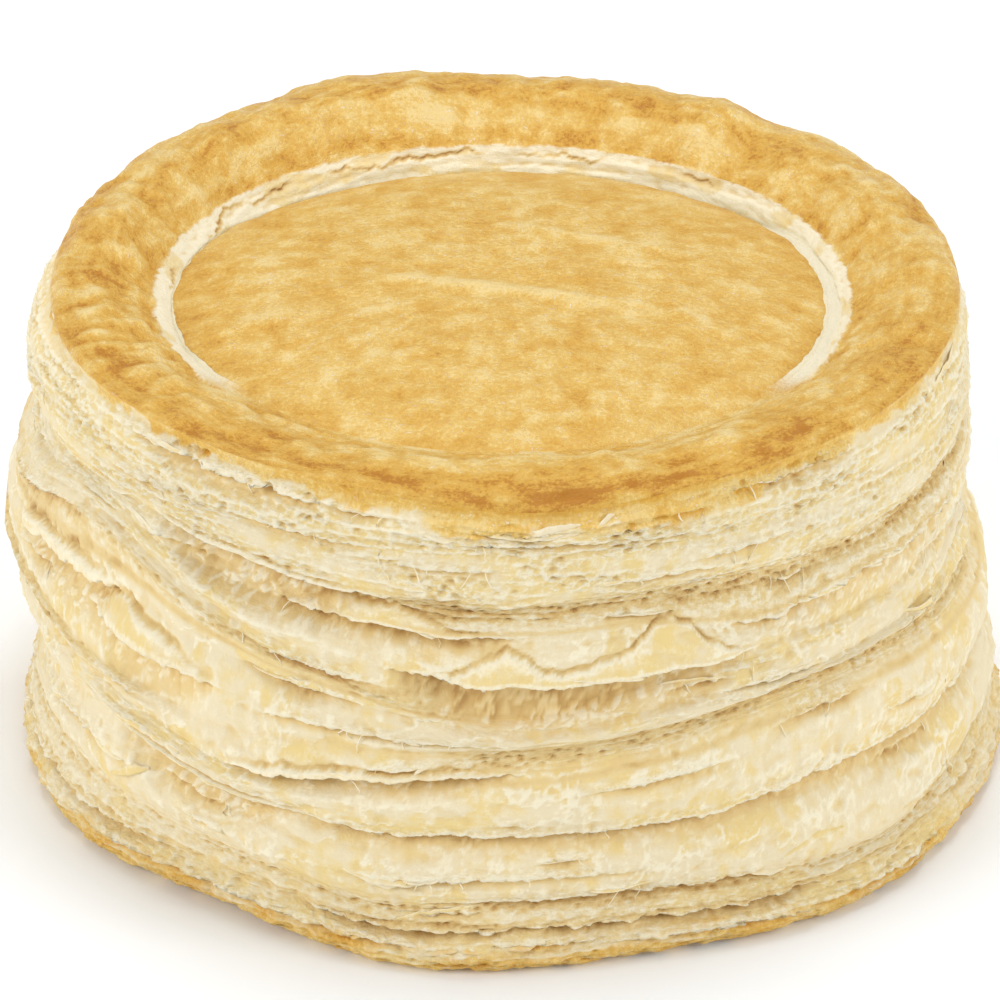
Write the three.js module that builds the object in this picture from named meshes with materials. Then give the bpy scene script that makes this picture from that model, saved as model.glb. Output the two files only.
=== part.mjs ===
// A large vol-au-vent: one baked puff pastry drum with a rolled rim, a scored groove and a puffed
// lid that is still attached. Millimetres, +Z up, origin at the middle of the underside.
//
// "turn" is the angle round the drum in degrees: 0 faces -Y (the front), 90 faces +X.
// "level" is the height that a layer of dough had before it puffed and slid, from 0 at the foot to
// the crust edge. The layers rise and sink round the drum, so a level is a wavy line on its side.

import * as THREE from "three";

// ---- driving sizes
const drum = {
  crustLevel: 45, // where the pale side ends and the browned crust begins
  topLean: 0.75, // how much higher the groove and the lid are at the front than in the middle
  middleShift: -0.5, // the waist stands this far to the left of the foot and the rim
  footCurl: 0.15, // the edge of the underside curls up this far
  footBevel: 1.4, // and is this wide
};

const rim = {
  edgeRadius: 41.8,
  crestRadius: 36.6,
  crestRise: 2.1, // above the crust level at the sides
  crestLean: 1.0, // less over the front and more over the back
  crestForward: 0.7,
  lipRadius: 31.4, // top of the wall of the groove
  lipRise: 0.1,
  lipRoundness: 1.7, // power of the curve that runs down from the crest to the lip
};

// The lid was scored as a circle that lies this far forward of the middle.
const scoreForward = 2.4;

const groove = {
  wallRadius: 31.0, // part of the way down
  floorRadius: 30.5,
  depth: 3.5, // below the lip, where the groove is open
  closedDepth: 0.7, // at the front, where the lid has puffed against the rim
  closedTo: 46, // turn, either side of the front
  openFrom: 68,
};

const lid = {
  footRadius: 29.6,
  closedFootRadius: 30.1,
  shoulderRadius: 28.8,
  shoulderRise: -1.3, // against the crust level
  closedShoulderRise: -0.4,
  crownRise: 2.3,
  roundness: 3.0, // power of the dome: the higher, the flatter the middle
};

// ---- the layers that can be followed round the side: the level of each, and where it rises or
// sinks, as [turn, spread in degrees, rise]
const layers = {
  foot: { level: 0, swells: [[-37, 14, 0.6], [22, 7, 0.25], [112, 16, 0.6], [-128, 20, 0.5]] },
  baseSplit: { level: 4.3, swells: [[-40, 20, 0.3], [50, 25, -0.6]] },
  lowPores: { level: 6.8, swells: [[-70, 28, 1.6], [-15, 8, -1.0], [50, 20, -2.0]] },
  lowCrevice: { level: 13.2, swells: [[-52, 18, 2.3], [42, 10, 0.9], [-16, 8, -0.5]] },
  cordUnder: { level: 19.0, swells: [[-33, 14, -2.6], [40, 26, 3.2]] },
  cordOver: { level: 21.4, swells: [[-40, 18, -1.6], [40, 24, 2.4]] },
  waistCrevice: { level: 25.4, swells: [[-52, 24, 3.3], [3, 15, -2.2], [60, 25, -1.4]] },
  braid: { level: 27.6, swells: [[-56, 21, 6.8], [2, 15, -3.6], [65, 25, -1.8]] },
  flapLip: { level: 29.2, swells: [[-57, 21, 6.2], [4, 16, -0.9], [60, 30, -2.0]] },
  sheetLip: { level: 32.5, swells: [[-56, 18, 4.2], [-15, 9, 1.4], [32, 8, -1.6], [60, 25, -1.2]] },
  seam: { level: 35.4, swells: [[-46, 24, 2.4], [-2, 12, -0.9], [60, 26, -0.9]] },
  fineLayers: { level: 40.0, swells: [[-60, 25, 0.8], [70, 25, -0.6]] },
  crustEdge: { level: drum.crustLevel, swells: [[-48, 22, 0.8], [4, 17, -1.5], [70, 20, 0.5]] },
};

// Behind the drum the layers wave on, fading in between two turns:
// [waves round the drum, slope with level, shift, rise].
const backWaves = [[2, 0.16, 0.0, 1.5], [3, -0.3, 1.3, 1.0], [7, 0.45, 0.6, 0.5]];
const backFrom = 84;
const backTo = 110;
const waveMargin = 6; // the waves die away this far above the foot and below the crust

// ---- splits between layers, each an overhanging lip above a hollow that runs out below:
// [layer, level below it, turn it starts, turn it ends, depth, reach below the lip, lip stands out]
const splits = [
  ["seam", 0, -41, -19, 3.2, 4.4, 0.5],
  ["sheetLip", 0, -24, -2, 2.0, 2.4, 0.9],
  ["sheetLip", 0, 29, 74, 1.8, 4.8, 0.5],
  ["flapLip", 0, -11, 28, 3.0, 4.8, 0.8],
  ["waistCrevice", 0, -80, -51, 2.6, 3.4, 0.5],
  ["waistCrevice", 1.7, -53, -38, 2.2, 3.6, 0.7],
  ["waistCrevice", 0, -30, -17, 1.4, 1.4, 0.4],
  ["waistCrevice", 0, 27, 39, 1.7, 1.2, 0.3],
  ["cordUnder", 0, -31, -2, 2.8, 2.4, 0.8],
  ["lowCrevice", 0, -48, -27, 2.8, 4.6, 0.5],
  ["lowCrevice", 0, -24, 78, 1.2, 3.2, 0.4],
  ["lowCrevice", 0, -110, -76, 1.9, 2.0, 0.3],
  ["lowPores", 0, -5, 34, 1.0, 1.2, 0.3],
  ["baseSplit", 0, -24, 1, 2.4, 1.4, 0.4],
  ["baseSplit", 0, 1, 38, 2.0, 1.6, 0.3],
  ["baseSplit", 0, -96, -44, 1.3, 1.2, 0.3],
];
const splitFade = 5; // degrees over which a split opens at its ends
const lipFade = 1.3; // the lip's standing out dies away this far above it

// Round the back one split follows another, on these layers in turn.
const backSplits = {
  layers: ["baseSplit", "cordUnder", "sheetLip", "lowCrevice", "waistCrevice", "seam"],
  count: 15,
  from: 88,
  span: 176,
  narrowest: 14,
  widest: 40,
  shallowest: 1.3,
  deepest: 2.9,
  reach: 1.4, // beyond its depth
  stands: 0.4,
};

// ---- bands of thin layers that stay flat between puffed sheets:
// [layer, level below it, start, end, half height, depth]
const bands = [
  ["seam", 0.6, -16, 180, 1.1, 1.0],
  ["cordOver", 1.0, -10, 180, 1.3, 1.2],
  ["cordOver", 0.6, -180, -52, 1.0, 0.8],
  ["braid", 0, -150, -2, 0.9, 0.5],
  ["lowPores", 0.6, -180, 180, 0.9, 0.6],
];
const bandFade = 10;

// ---- radius of the side without its splits, as [level, radius]
const sideRadii = [
  [0, 45.3], [1.8, 45.4], [6, 44.7], [12, 44.1], [17, 44.4], [24, 44.1],
  [30, 43.6], [36, 42.9], [41, 42.5], [drum.crustLevel, rim.edgeRadius],
];
// where the outline swells or shrinks, as [turn, spread, level, spread in level, rise]
const outline = [
  [-37, 16, 0, 8, -1.7], [-8, 13, 0, 9, 1.1], [44, 19, 0, 12, 1.2], [16, 8, 0, 6, -0.5],
  [-106, 22, 21, 5, 1.8], [-86, 26, 10.5, 4, -2.0], [-78, 15, 17, 4, -1.0], [-88, 26, 34, 3.6, -1.2],
  [-92, 34, 1, 6, -1.2], [92, 34, 26, 6, -2.0], [92, 34, 41, 7, -0.5], [92, 30, 5, 9, 0.4],
  [150, 26, 36, 14, -1.3], [-150, 24, 40, 12, 0.8], [-150, 24, 12, 6, 0.8], [178, 30, 6, 8, 0.6],
];
// the same along the crust edge and along the crest, as [turn, spread, rise]
const rimOutline = [[0, 30, -0.5], [-85, 25, 0.7], [150, 22, -1.5], [-152, 24, 1.2]];
const crestHills = [[-150, 36, 0.9], [139, 5, -0.7], [124, 4, -0.3], [-35, 9, -0.3]];
const crestWaves = [[3, 0.8, 0.3], [7, 2.1, 0.2], [13, 0, 0.15]]; // [waves round the rim, shift, rise]
const calmBelowCrust = 2.5; // the relief of the side dies away over this height under the crust
const puff = { low: 0.75, high: 0.35, from: 30, to: 38 }; // bulge of a sheet, low and high on the side
const fullPuffGap = 6; // sheets between closer layers bulge less

// ---- how the mesh is divided
const columns = 96;
const rollSteps = 4; // from the crust edge to the crest, and again to the lip
const lidSteps = 6;
const splitRows = ["baseSplit", "lowCrevice", "cordUnder", "waistCrevice", "flapLip", "sheetLip", "seam"];
const splitRowGap = 0.25; // a row this far above and below each of these layers makes the lips sharp
const fillRows = [1.8, 5.7, 9.0, 11.2, 15.2, 17.2, 20.2, 23.4, 30.9, 34.0, 37.7, 42.6];

const layerNames = Object.keys(layers);
const levelOf = (name) => layers[name].level;
const toRadians = THREE.MathUtils.degToRad;
const clamp = THREE.MathUtils.clamp;
const smooth = (from, to, x) => THREE.MathUtils.smoothstep(x, from, to);
const between = (a, b, share) => a + (b - a) * share;

// The shortest way from one turn to another, in degrees
function turnGap(turn, centre) {
  return THREE.MathUtils.euclideanModulo(turn - centre + 180, 360) - 180;
}

// A smooth hill of height 1
function hill(distance, spread) {
  return Math.exp(-((distance / spread) ** 2));
}

function sumOfHills(turn, hills) {
  return hills.reduce((sum, [centre, spread, rise]) => sum + rise * hill(turnGap(turn, centre), spread), 0);
}

// A repeatable draw between 0 and 1
function chance(n) {
  const x = Math.sin(n * 12.9898) * 43758.5453;
  return x - Math.floor(x);
}

// The followed layers below and above a level, and how far it is from one to the other
function layersAround(at) {
  let upper = 1;
  while (upper < layerNames.length - 1 && levelOf(layerNames[upper]) < at) upper += 1;
  const [low, high] = [layerNames[upper - 1], layerNames[upper]];
  const gap = levelOf(high) - levelOf(low);
  return { low, high, gap, share: clamp((at - levelOf(low)) / gap, 0, 1) };
}

// How far the dough at this level has risen or sunk, at this turn
function layerRise(turn, at) {
  const { low, high, share } = layersAround(at);
  const front = between(sumOfHills(turn, layers[low].swells), sumOfHills(turn, layers[high].swells), share);
  const behind = smooth(backFrom, backTo, Math.abs(turnGap(turn, 0)));
  const room = Math.min(1, at / waveMargin, Math.max(0, drum.crustLevel - at) / waveMargin);
  let wave = 0;
  for (const [waves, slope, shift, rise] of backWaves) {
    wave += rise * Math.sin(waves * toRadians(turn) + slope * at + shift);
  }
  return front + wave * behind * room;
}

function heightOf(turn, at) {
  const lean = drum.topLean * Math.cos(toRadians(turn)) * (at / drum.crustLevel) ** 3;
  const curl = drum.footCurl * Math.max(0, 1 - at);
  return at + layerRise(turn, at) + lean + curl;
}

// 1 inside an arc from one turn to another, fading to 0 at its ends
function arc(turn, start, end, fade) {
  const half = (end - start) / 2;
  if (half >= 180) return 1;
  return 1 - smooth(half - fade, half + fade * 0.4, Math.abs(turnGap(turn, start + half)));
}

function everySplit() {
  const made = [...splits];
  for (let n = 0; n < backSplits.count; n += 1) {
    const layer = backSplits.layers[n % backSplits.layers.length];
    const width = between(backSplits.narrowest, backSplits.widest, chance(n + 1));
    const start = backSplits.from + (backSplits.span * (n + 0.3 * chance(n + 31))) / backSplits.count;
    const depth = between(backSplits.shallowest, backSplits.deepest, chance(n + 61));
    made.push([layer, 0, start, start + width, depth, depth + backSplits.reach, backSplits.stands]);
  }
  return made;
}
const allSplits = everySplit();

function splitRelief(turn, at) {
  let relief = 0;
  for (const [layer, down, start, end, depth, reach, stands] of allSplits) {
    const open = arc(turn, start, end, splitFade);
    const below = levelOf(layer) - down - at;
    if (below > 0 && below < reach) relief -= open * depth * (1 - below / reach) ** 1.3;
    if (below <= 0) relief += open * stands * Math.exp(below / lipFade);
  }
  return relief;
}

function bandRelief(turn, at) {
  let relief = 0;
  for (const [layer, down, start, end, half, depth] of bands) {
    relief -= depth * arc(turn, start, end, bandFade) * hill(at - levelOf(layer) + down, half);
  }
  return relief;
}

function puffRelief(at) {
  const { gap, share } = layersAround(at);
  const bulge = between(puff.low, puff.high, smooth(puff.from, puff.to, at));
  return bulge * Math.min(1, gap / fullPuffGap) * Math.sin(Math.PI * share);
}

function plainRadius(at) {
  let upper = 1;
  while (upper < sideRadii.length - 1 && sideRadii[upper][0] < at) upper += 1;
  const [[low, lowRadius], [high, highRadius]] = [sideRadii[upper - 1], sideRadii[upper]];
  return between(lowRadius, highRadius, smooth(low, high, at));
}

function sideRadius(turn, at) {
  let swell = 0;
  for (const [centre, spread, height, spreadUp, rise] of outline) {
    swell += rise * hill(turnGap(turn, centre), spread) * hill(at - height, spreadUp);
  }
  const nearCrust = smooth(drum.crustLevel - calmBelowCrust, drum.crustLevel, at);
  const relief = swell + splitRelief(turn, at) + bandRelief(turn, at) + puffRelief(at);
  return plainRadius(at) + between(relief, sumOfHills(turn, rimOutline), nearCrust);
}

// How open the groove is: 0 across the front, 1 round the sides and the back
function opening(turn) {
  return smooth(groove.closedTo, groove.openFrom, Math.abs(turnGap(turn, 0)));
}

// Height of the rim's crest above the crust level, with its small dents
function crestRise(turn) {
  const a = toRadians(turn);
  const uneven = crestWaves.reduce((sum, [waves, shift, rise]) => sum + rise * Math.sin(waves * a + shift), 0);
  return rim.crestRise - rim.crestLean * Math.cos(a) + uneven + sumOfHills(turn, crestHills);
}

// The crust from its edge over the crest and down to the lip, as [radius, height, forward]
function rimSection(turn) {
  const base = drum.crustLevel + drum.topLean * Math.cos(toRadians(turn));
  const edgeHeight = heightOf(turn, drum.crustLevel);
  const edgeRadius = sideRadius(turn, drum.crustLevel);
  const crestHeight = base + crestRise(turn);
  const lipHeight = base + rim.lipRise;
  const outer = [];
  const inner = [];
  for (let n = 1; n <= rollSteps; n += 1) {
    const inwards = n / rollSteps;
    const out = Math.cos((inwards * Math.PI) / 2);
    outer.push([
      between(rim.crestRadius, edgeRadius, out),
      between(edgeHeight, crestHeight, Math.sqrt(1 - out * out)),
      rim.crestForward * (1 - out),
    ]);
    inner.push([
      between(rim.crestRadius, rim.lipRadius, inwards),
      between(crestHeight, lipHeight, inwards ** rim.lipRoundness),
      between(rim.crestForward, scoreForward, inwards),
    ]);
  }
  return [...outer, ...inner];
}

// The groove and the lid up to one step from its middle, as [radius, height, forward]
function lidSection(turn) {
  const open = opening(turn);
  const base = drum.crustLevel + drum.topLean * Math.cos(toRadians(turn));
  const lip = base + rim.lipRise;
  const floor = lip - between(groove.closedDepth, groove.depth, open);
  const shoulder = base + between(lid.closedShoulderRise, lid.shoulderRise, open);
  const crown = drum.crustLevel + lid.crownRise;
  const foot = between(lid.closedFootRadius, lid.footRadius, open);
  const points = [
    [groove.wallRadius, between(lip, floor, 0.6), scoreForward],
    [groove.floorRadius, floor, scoreForward],
    [foot, floor + 0.15, scoreForward],
    [(foot + lid.shoulderRadius) / 2, between(floor, shoulder, 0.7), scoreForward],
  ];
  for (let n = 0; n < lidSteps; n += 1) {
    const share = 1 - n / lidSteps;
    const height = between(crown, shoulder, share ** lid.roundness);
    points.push([lid.shoulderRadius * share, height, scoreForward]);
  }
  return points;
}

// Levels of the rows up the side
function sideLevels() {
  const plain = layerNames.filter((name) => !splitRows.includes(name)).map(levelOf);
  const doubled = splitRows.flatMap((name) => [levelOf(name) - splitRowGap, levelOf(name) + splitRowGap]);
  return [...plain, ...doubled, ...fillRows].sort((a, b) => a - b);
}

// Every point of the surface at one turn: the underside's edge, the side, the rim, groove and lid
function sectionAt(turn) {
  const a = toRadians(turn);
  const place = (radius, height, forward = 0) => {
    const shift = drum.middleShift * Math.sin(Math.PI * Math.min(height / drum.crustLevel, 1));
    return [radius * Math.sin(a) + shift, -radius * Math.cos(a) - forward, height];
  };
  const underside = place(sideRadius(turn, 0) - drum.footBevel, 0);
  const side = sideLevels().map((at) => place(sideRadius(turn, at), heightOf(turn, at)));
  const top = [...rimSection(turn), ...lidSection(turn)].map((point) => place(...point));
  return [underside, ...side, ...top];
}

function pastryGeometry() {
  const turns = Array.from({ length: columns }, (_, n) => (n * 360) / columns - 180);
  const sections = turns.map(sectionAt);
  const rings = sections[0].length;
  const middleOfUnderside = columns * rings;
  const crown = middleOfUnderside + 1;
  const positions = sections.flat(2);
  positions.push(0, 0, 0);
  positions.push(0, -scoreForward, drum.crustLevel + lid.crownRise);
  const faces = [];
  for (let n = 0; n < columns; n += 1) {
    const here = n * rings;
    const next = ((n + 1) % columns) * rings;
    faces.push(middleOfUnderside, next, here);
    for (let row = 0; row < rings - 1; row += 1) {
      faces.push(here + row, next + row, next + row + 1);
      faces.push(here + row, next + row + 1, here + row + 1);
    }
    faces.push(crown, here + rings - 1, next + rings - 1);
  }
  const geometry = new THREE.BufferGeometry();
  geometry.setAttribute("position", new THREE.Float32BufferAttribute(positions, 3));
  geometry.setIndex(faces);
  geometry.computeVertexNormals();
  return geometry;
}

function bakedDough() {
  return new THREE.MeshStandardMaterial({ color: 0xe9cf96, roughness: 0.75, metalness: 0 });
}

const pastryCase = new THREE.Mesh(pastryGeometry(), bakedDough());
pastryCase.name = "pastry_case";

const volAuVent = new THREE.Group();
volAuVent.add(pastryCase);

export default volAuVent;
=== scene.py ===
import math

import bpy
import numpy as np
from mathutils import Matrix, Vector


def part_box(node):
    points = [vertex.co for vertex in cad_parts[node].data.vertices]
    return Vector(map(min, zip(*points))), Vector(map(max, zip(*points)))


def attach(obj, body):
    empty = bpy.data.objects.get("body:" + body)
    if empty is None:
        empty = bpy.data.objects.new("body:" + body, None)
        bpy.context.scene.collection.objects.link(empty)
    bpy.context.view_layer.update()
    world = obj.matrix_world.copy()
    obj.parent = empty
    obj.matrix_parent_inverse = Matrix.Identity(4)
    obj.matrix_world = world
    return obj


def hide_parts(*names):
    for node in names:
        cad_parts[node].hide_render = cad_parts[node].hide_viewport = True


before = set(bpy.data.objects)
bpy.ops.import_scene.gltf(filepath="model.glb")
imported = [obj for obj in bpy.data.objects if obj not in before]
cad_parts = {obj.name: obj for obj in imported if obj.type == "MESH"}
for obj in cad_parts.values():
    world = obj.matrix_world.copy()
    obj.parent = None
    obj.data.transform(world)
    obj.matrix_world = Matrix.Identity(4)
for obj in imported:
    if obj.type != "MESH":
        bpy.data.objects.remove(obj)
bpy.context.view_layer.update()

# A baked vol-au-vent case with its scored lid still in place, built over its CAD solid.
# Sizes are in millimetres until a mesh is made. "turn" is degrees round the drum, 0 at the front
# (-Y) and 90 at the right (+X). "level" is where a layer of dough lay before it puffed: 0 at the
# foot, 45 at the crust edge. The layers sink and rise, so a level is a wavy line round the side.

mm = 0.001

drum = {
    "crustLevel": 45.0,
    "topLean": 0.75,        # groove and lid stand higher at the front, lower at the back
    "middleShift": -0.5,    # the waist leans to the left
    "footCurl": 0.45,
    "roundRadius": 45.0,    # for lengths round the drum
}
degreeLength = drum["roundRadius"] * math.pi / 180

# each followed layer: level, then where it rises or sinks as (turn, spread, rise)
layers = {
    "foot": (0, [(-37, 14, 0.6), (22, 7, 0.25), (112, 16, 0.6), (-128, 20, 0.5)]),
    "baseSplit": (4.3, [(-40, 20, 0.3), (50, 25, -0.6)]),
    "lowPores": (6.8, [(-70, 28, 1.6), (-15, 8, -1.0), (50, 20, -2.0)]),
    "lowCrevice": (13.2, [(-52, 18, 2.3), (42, 10, 0.9), (-16, 8, -0.5)]),
    "cordUnder": (19.0, [(-33, 14, -2.6), (40, 26, 3.2)]),
    "cordOver": (21.4, [(-40, 18, -1.6), (40, 24, 2.4)]),
    "waistCrevice": (25.4, [(-52, 24, 3.3), (3, 15, -2.2), (60, 25, -1.4)]),
    "braid": (27.6, [(-56, 21, 6.8), (2, 15, -3.6), (65, 25, -1.8)]),
    "flapLip": (29.2, [(-57, 21, 6.2), (4, 16, -0.9), (60, 30, -2.0)]),
    "sheetLip": (32.5, [(-56, 18, 4.2), (-15, 9, 1.4), (32, 8, -1.6), (60, 25, -1.2)]),
    "seam": (35.4, [(-46, 24, 2.4), (-2, 12, -0.9), (60, 26, -0.9)]),
    "fineLayers": (40.0, [(-60, 25, 0.8), (70, 25, -0.6)]),
    "crustEdge": (45.0, [(-48, 22, 0.8), (4, 17, -1.5), (70, 20, 0.5)]),
}
# behind the drum, where nothing is followed, the layers wave: (waves round, slope, shift, rise)
backWaves = {
    "waves": [(2, 0.16, 0.0, 1.5), (3, -0.3, 1.3, 1.0), (7, 0.45, 0.6, 0.5)],
    "from": 84.0,
    "to": 110.0,
    "margin": 6.0,
}

# splits: (layer, level below it, start, end, depth, reach below the lip, how far the lip stands out,
# height of the smooth torn skin above the lip, even or as hills along the lip)
splits = [
    ("seam", 0, -45, -15, 4.4, 5.0, 0.6, 0.4),
    ("sheetLip", 0, -27, 0, 2.4, 2.6, 0.8, [(-15, 9, 2.1)]),
    ("sheetLip", 0, 29, 74, 1.9, 4.8, 0.5, 0.0),
    ("flapLip", 0, -12, 31, 3.1, 4.8, 0.9, [(0.5, 5, 1.9), (19, 8.5, 4.4)]),
    ("waistCrevice", 0, -80, -51, 2.7, 3.4, 0.5, 0.7),
    ("waistCrevice", 1.7, -56, -36, 2.7, 3.6, 0.9, 1.5),
    ("waistCrevice", 0, -30, -17, 1.4, 1.4, 0.4, 0.0),
    ("waistCrevice", 0, 27, 39, 1.7, 1.2, 0.3, 0.0),
    ("cordUnder", 0, -33, 0, 2.9, 2.5, 0.7, 0.6),
    ("lowCrevice", 0, -51, -25, 3.1, 4.6, 0.5, 1.1),
    ("lowCrevice", 0, -24, 78, 1.4, 2.6, 0.25, 0.0),
    ("lowCrevice", 0, -110, -76, 1.9, 2.0, 0.3, 0.0),
    ("lowPores", 0, -5, 34, 1.1, 1.2, 0.3, 0.0),
    ("baseSplit", 0, -24, 1, 2.4, 1.4, 0.5, 0.4),
    ("baseSplit", 0, 1, 38, 2.0, 1.6, 0.35, 0.0),
    ("baseSplit", 0, -96, -44, 1.5, 1.2, 0.35, 0.0),
]
splitShape = {
    "fade": 8.5,          # degrees over which a split opens at its ends
    "shortFade": 2.2,     # or its length over this, where it is short
    "endWander": 0.8,
    "ragged": 0.24,       # how far the torn lip wanders up and down
    "tearRagged": 0.7,    # the share of that on a small tear
    "lipFade": 1.3,
    "droop": 0.14,        # the lip hangs over the hollow
    "undercut": 0.08,     # and the hollow runs up behind it
    "droopFade": 0.5,
    "fullDroop": 1.5,     # depth of a split that droops in full
    "sharpness": 0.1,     # height over which the lip turns into the hollow
    "hollowShare": 0.82,
    "hollowCurve": 1.1,
    "roughHeight": 1.1,
    "skinStandsOut": 0.45,
    "skinGap": 0.25,
    "skinEdge": (0.05, 0.1),     # its pale edge: how far inside the outline, half height
    "skinShade": (0.22, 0.16),   # the gap beyond it: how far outside, half height
    # the painted shadow under a lip fades over this far below it, and is full under a split this deep
    "creaseFade": 0.5,
    "fullCrease": 1.2,
    # noises along the lip: (amount, mm along it, step from lip to lip, seed)
    "torn": [(1.0, 3.5, 3.7, 300), (0.6, 1.0, 2.3, 400), (0.5, 0.6, 1.3, 800)],
    "jags": [(1.0, 7.0, 1.9, 600), (0.25, 1.3, 2.9, 700)],
}
backSplits = {
    "layers": ["baseSplit", "cordUnder", "sheetLip", "lowCrevice", "waistCrevice", "seam"],
    "count": 15,
    "from": 88.0,
    "span": 176.0,
    "width": (14.0, 40.0),
    "depth": (1.3, 2.9),
    "reach": 1.4,
    "standsOut": 0.4,
    "skin": (-1.0, 1.4),      # below 0: no skin above the lip
}
# thin layers that stayed flat: (layer, level below it, start, end, half height, depth)
bands = [
    ("seam", 0.6, -16, 180, 1.1, 1.0),
    ("cordOver", 1.0, -10, 180, 1.3, 1.2),
    ("cordOver", 0.6, -180, -52, 0.75, -0.5),
    ("braid", 0, -150, -2, 0.65, -0.55),
    ("lowPores", 0.6, -180, 180, 0.9, 0.6),
]
bandShape = {
    "fade": 10.0,
    # under each band a crease, dented a little and darkened with painted shadow
    "creaseBelow": 1.6,      # in half heights of the band
    "creaseHalf": 0.28,
    "creaseAndShadow": 0.45,
    "raisedCrease": 0.55,    # beside a band that stands out
}

sideShape = {
    # (level, radius) without the splits
    "radii": [(0, 45.3), (1.8, 45.4), (6, 44.7), (12, 44.1), (17, 44.4), (24, 44.1),
              (30, 43.6), (36, 42.9), (41, 42.5), (45, 41.8)],
    # (turn, spread, level, spread in level, rise)
    "outline": [(-37, 16, 0, 8, -1.7), (-8, 13, 0, 9, 1.1), (44, 19, 0, 12, 1.2), (16, 8, 0, 6, -0.5),
                (-106, 22, 21, 5, 1.8), (-86, 26, 10.5, 4, -2.0), (-78, 15, 17, 4, -1.0),
                (-88, 26, 34, 3.6, -1.2), (-92, 34, 1, 6, -1.2), (92, 34, 26, 6, -2.0),
                (92, 34, 41, 7, -0.5), (92, 30, 5, 9, 0.4), (150, 26, 36, 14, -1.3),
                (-86, 24, 39.6, 2.8, 1.1),
                (-150, 24, 40, 12, 0.8), (-150, 24, 12, 6, 0.8), (178, 30, 6, 8, 0.6)],
    "rimOutline": [(0, 30, -0.5), (-88, 26, -0.5), (94, 26, -0.8), (150, 22, -1.2), (-152, 24, 1.0)],
    "calm": 2.5,                        # the side runs out smooth this far under the crust
    "calmTears": (0.9, 0.1),
    "puff": (0.75, 0.35, 30.0, 38.0),   # bulge low, bulge high, from level, to level
    "fullPuffGap": 6.0,
    "settle": 0.35,                     # everything fine is kept this far inside the CAD box
}


def smooth(low, high, x):
    t = np.clip((x - low) / (high - low), 0.0, 1.0)
    return t * t * (3 - 2 * t)


def between(a, b, share):
    return a + (b - a) * share


def turnGap(turn, centre):
    return (turn - centre + 180.0) % 360.0 - 180.0


def hill(distance, spread):
    return np.exp(-((distance / spread) ** 2))


# a patch of the side, with its middle at one turn and one level
def patch(turn, up, centre, spread, at, spreadUp):
    return hill(turnGap(turn, centre), spread) * hill(up - at, spreadUp)


def sumOfHills(turn, hills):
    return sum(rise * hill(turnGap(turn, centre), spread) for centre, spread, rise in hills)


def arc(turn, start, end, fade):
    half = (end - start) / 2
    if half >= 180:
        return np.ones_like(turn)
    return 1 - smooth(half - fade, half + fade * 0.4, np.abs(turnGap(turn, start + half)))


def chance(n):
    x = math.sin(n * 12.9898) * 43758.5453
    return x - math.floor(x)


def latticeNumbers(turn, up, grainRound, grainUp):
    cells = max(3, round(2 * math.pi * drum["roundRadius"] / grainRound))
    across = (turn / 360.0 % 1.0) * cells
    along = up / grainUp + 200.0
    cell = np.floor(across).astype(int)
    row = np.floor(along).astype(int)
    return cells, cell, row, across - cell, along - row


# smooth noise on the drum, about -1 to 1, that closes on itself all round
def doughNoise(turn, up, grainRound, grainUp, seed):
    turn, up = np.broadcast_arrays(turn, up)
    cells, cell, row, fx, fy = latticeNumbers(turn, up, grainRound, grainUp)
    angles = np.random.default_rng(seed).random((cells, int(row.max()) + 3)) * 2 * math.pi
    gx, gy = np.cos(angles), np.sin(angles)
    ux = fx * fx * fx * (fx * (fx * 6 - 15) + 10)
    uy = fy * fy * fy * (fy * (fy * 6 - 15) + 10)

    def corner(i, j):
        c, r = (cell + i) % cells, row + j
        return gx[c, r] * (fx - i) + gy[c, r] * (fy - j)

    low = between(corner(0, 0), corner(1, 0), ux)
    high = between(corner(0, 1), corner(1, 1), ux)
    return between(low, high, uy) * 1.5


# several noises over each other: [(amount, mm round the drum, mm up it, seed), ...]
def layered(turn, up, noises, seedShift=0):
    return sum(amount * doughNoise(turn, up, grainRound, grainUp, seed + seedShift)
               for amount, grainRound, grainUp, seed in noises)


# noises along numbered lines: [(amount, mm along the line, step from line to line, seed), ...]
def lineNoise(turn, number, noises, seedShift=0):
    return sum(amount * doughNoise(turn, number * step, grain, 1.0, seed + seedShift)
               for amount, grain, step, seed in noises)


# scattered points: distance to the nearest, how much further the next one is (small on the web
# between two cells), and a draw that belongs to the nearest
def cells(turn, up, grainRound, grainUp, seed):
    turn, up = np.broadcast_arrays(turn, up)
    count, cell, row, fx, fy = latticeNumbers(turn, up, grainRound, grainUp)
    shape = (count, int(row.max()) + 3)
    draw = np.random.default_rng(seed)
    px, py, own = draw.random(shape), draw.random(shape), draw.random(shape)
    near = np.full(turn.shape, 9.0)
    second = np.full(turn.shape, 9.0)
    nearOwn = np.zeros(turn.shape)
    for i in (-1, 0, 1):
        for j in (-1, 0, 1):
            c, r = (cell + i) % count, row + j
            distance = np.hypot(i + px[c, r] - fx, j + py[c, r] - fy)
            nearer = distance < near
            second = np.where(nearer, near, np.minimum(second, distance))
            nearOwn = np.where(nearer, own[c, r], nearOwn)
            near = np.where(nearer, distance, near)
    return near, second - near, nearOwn


# the mean over a small window, round the drum and up it
def blurred(field, round_, up):
    total = sum(np.roll(field, n, axis=0) for n in range(-round_, round_ + 1)) / (2 * round_ + 1)
    padded = np.pad(total, ((0, 0), (up, up)), mode="edge")
    rows = field.shape[1]
    return sum(padded[:, n:n + rows] for n in range(2 * up + 1)) / (2 * up + 1)


layerNames = list(layers)
layerLevels = np.array([layers[name][0] for name in layerNames], dtype=float)


def layersAround(level):
    upper = np.clip(np.searchsorted(layerLevels, level), 1, len(layerLevels) - 1)
    gap = layerLevels[upper] - layerLevels[upper - 1]
    share = np.clip((level - layerLevels[upper - 1]) / gap, 0, 1)
    return upper, gap, share


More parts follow.
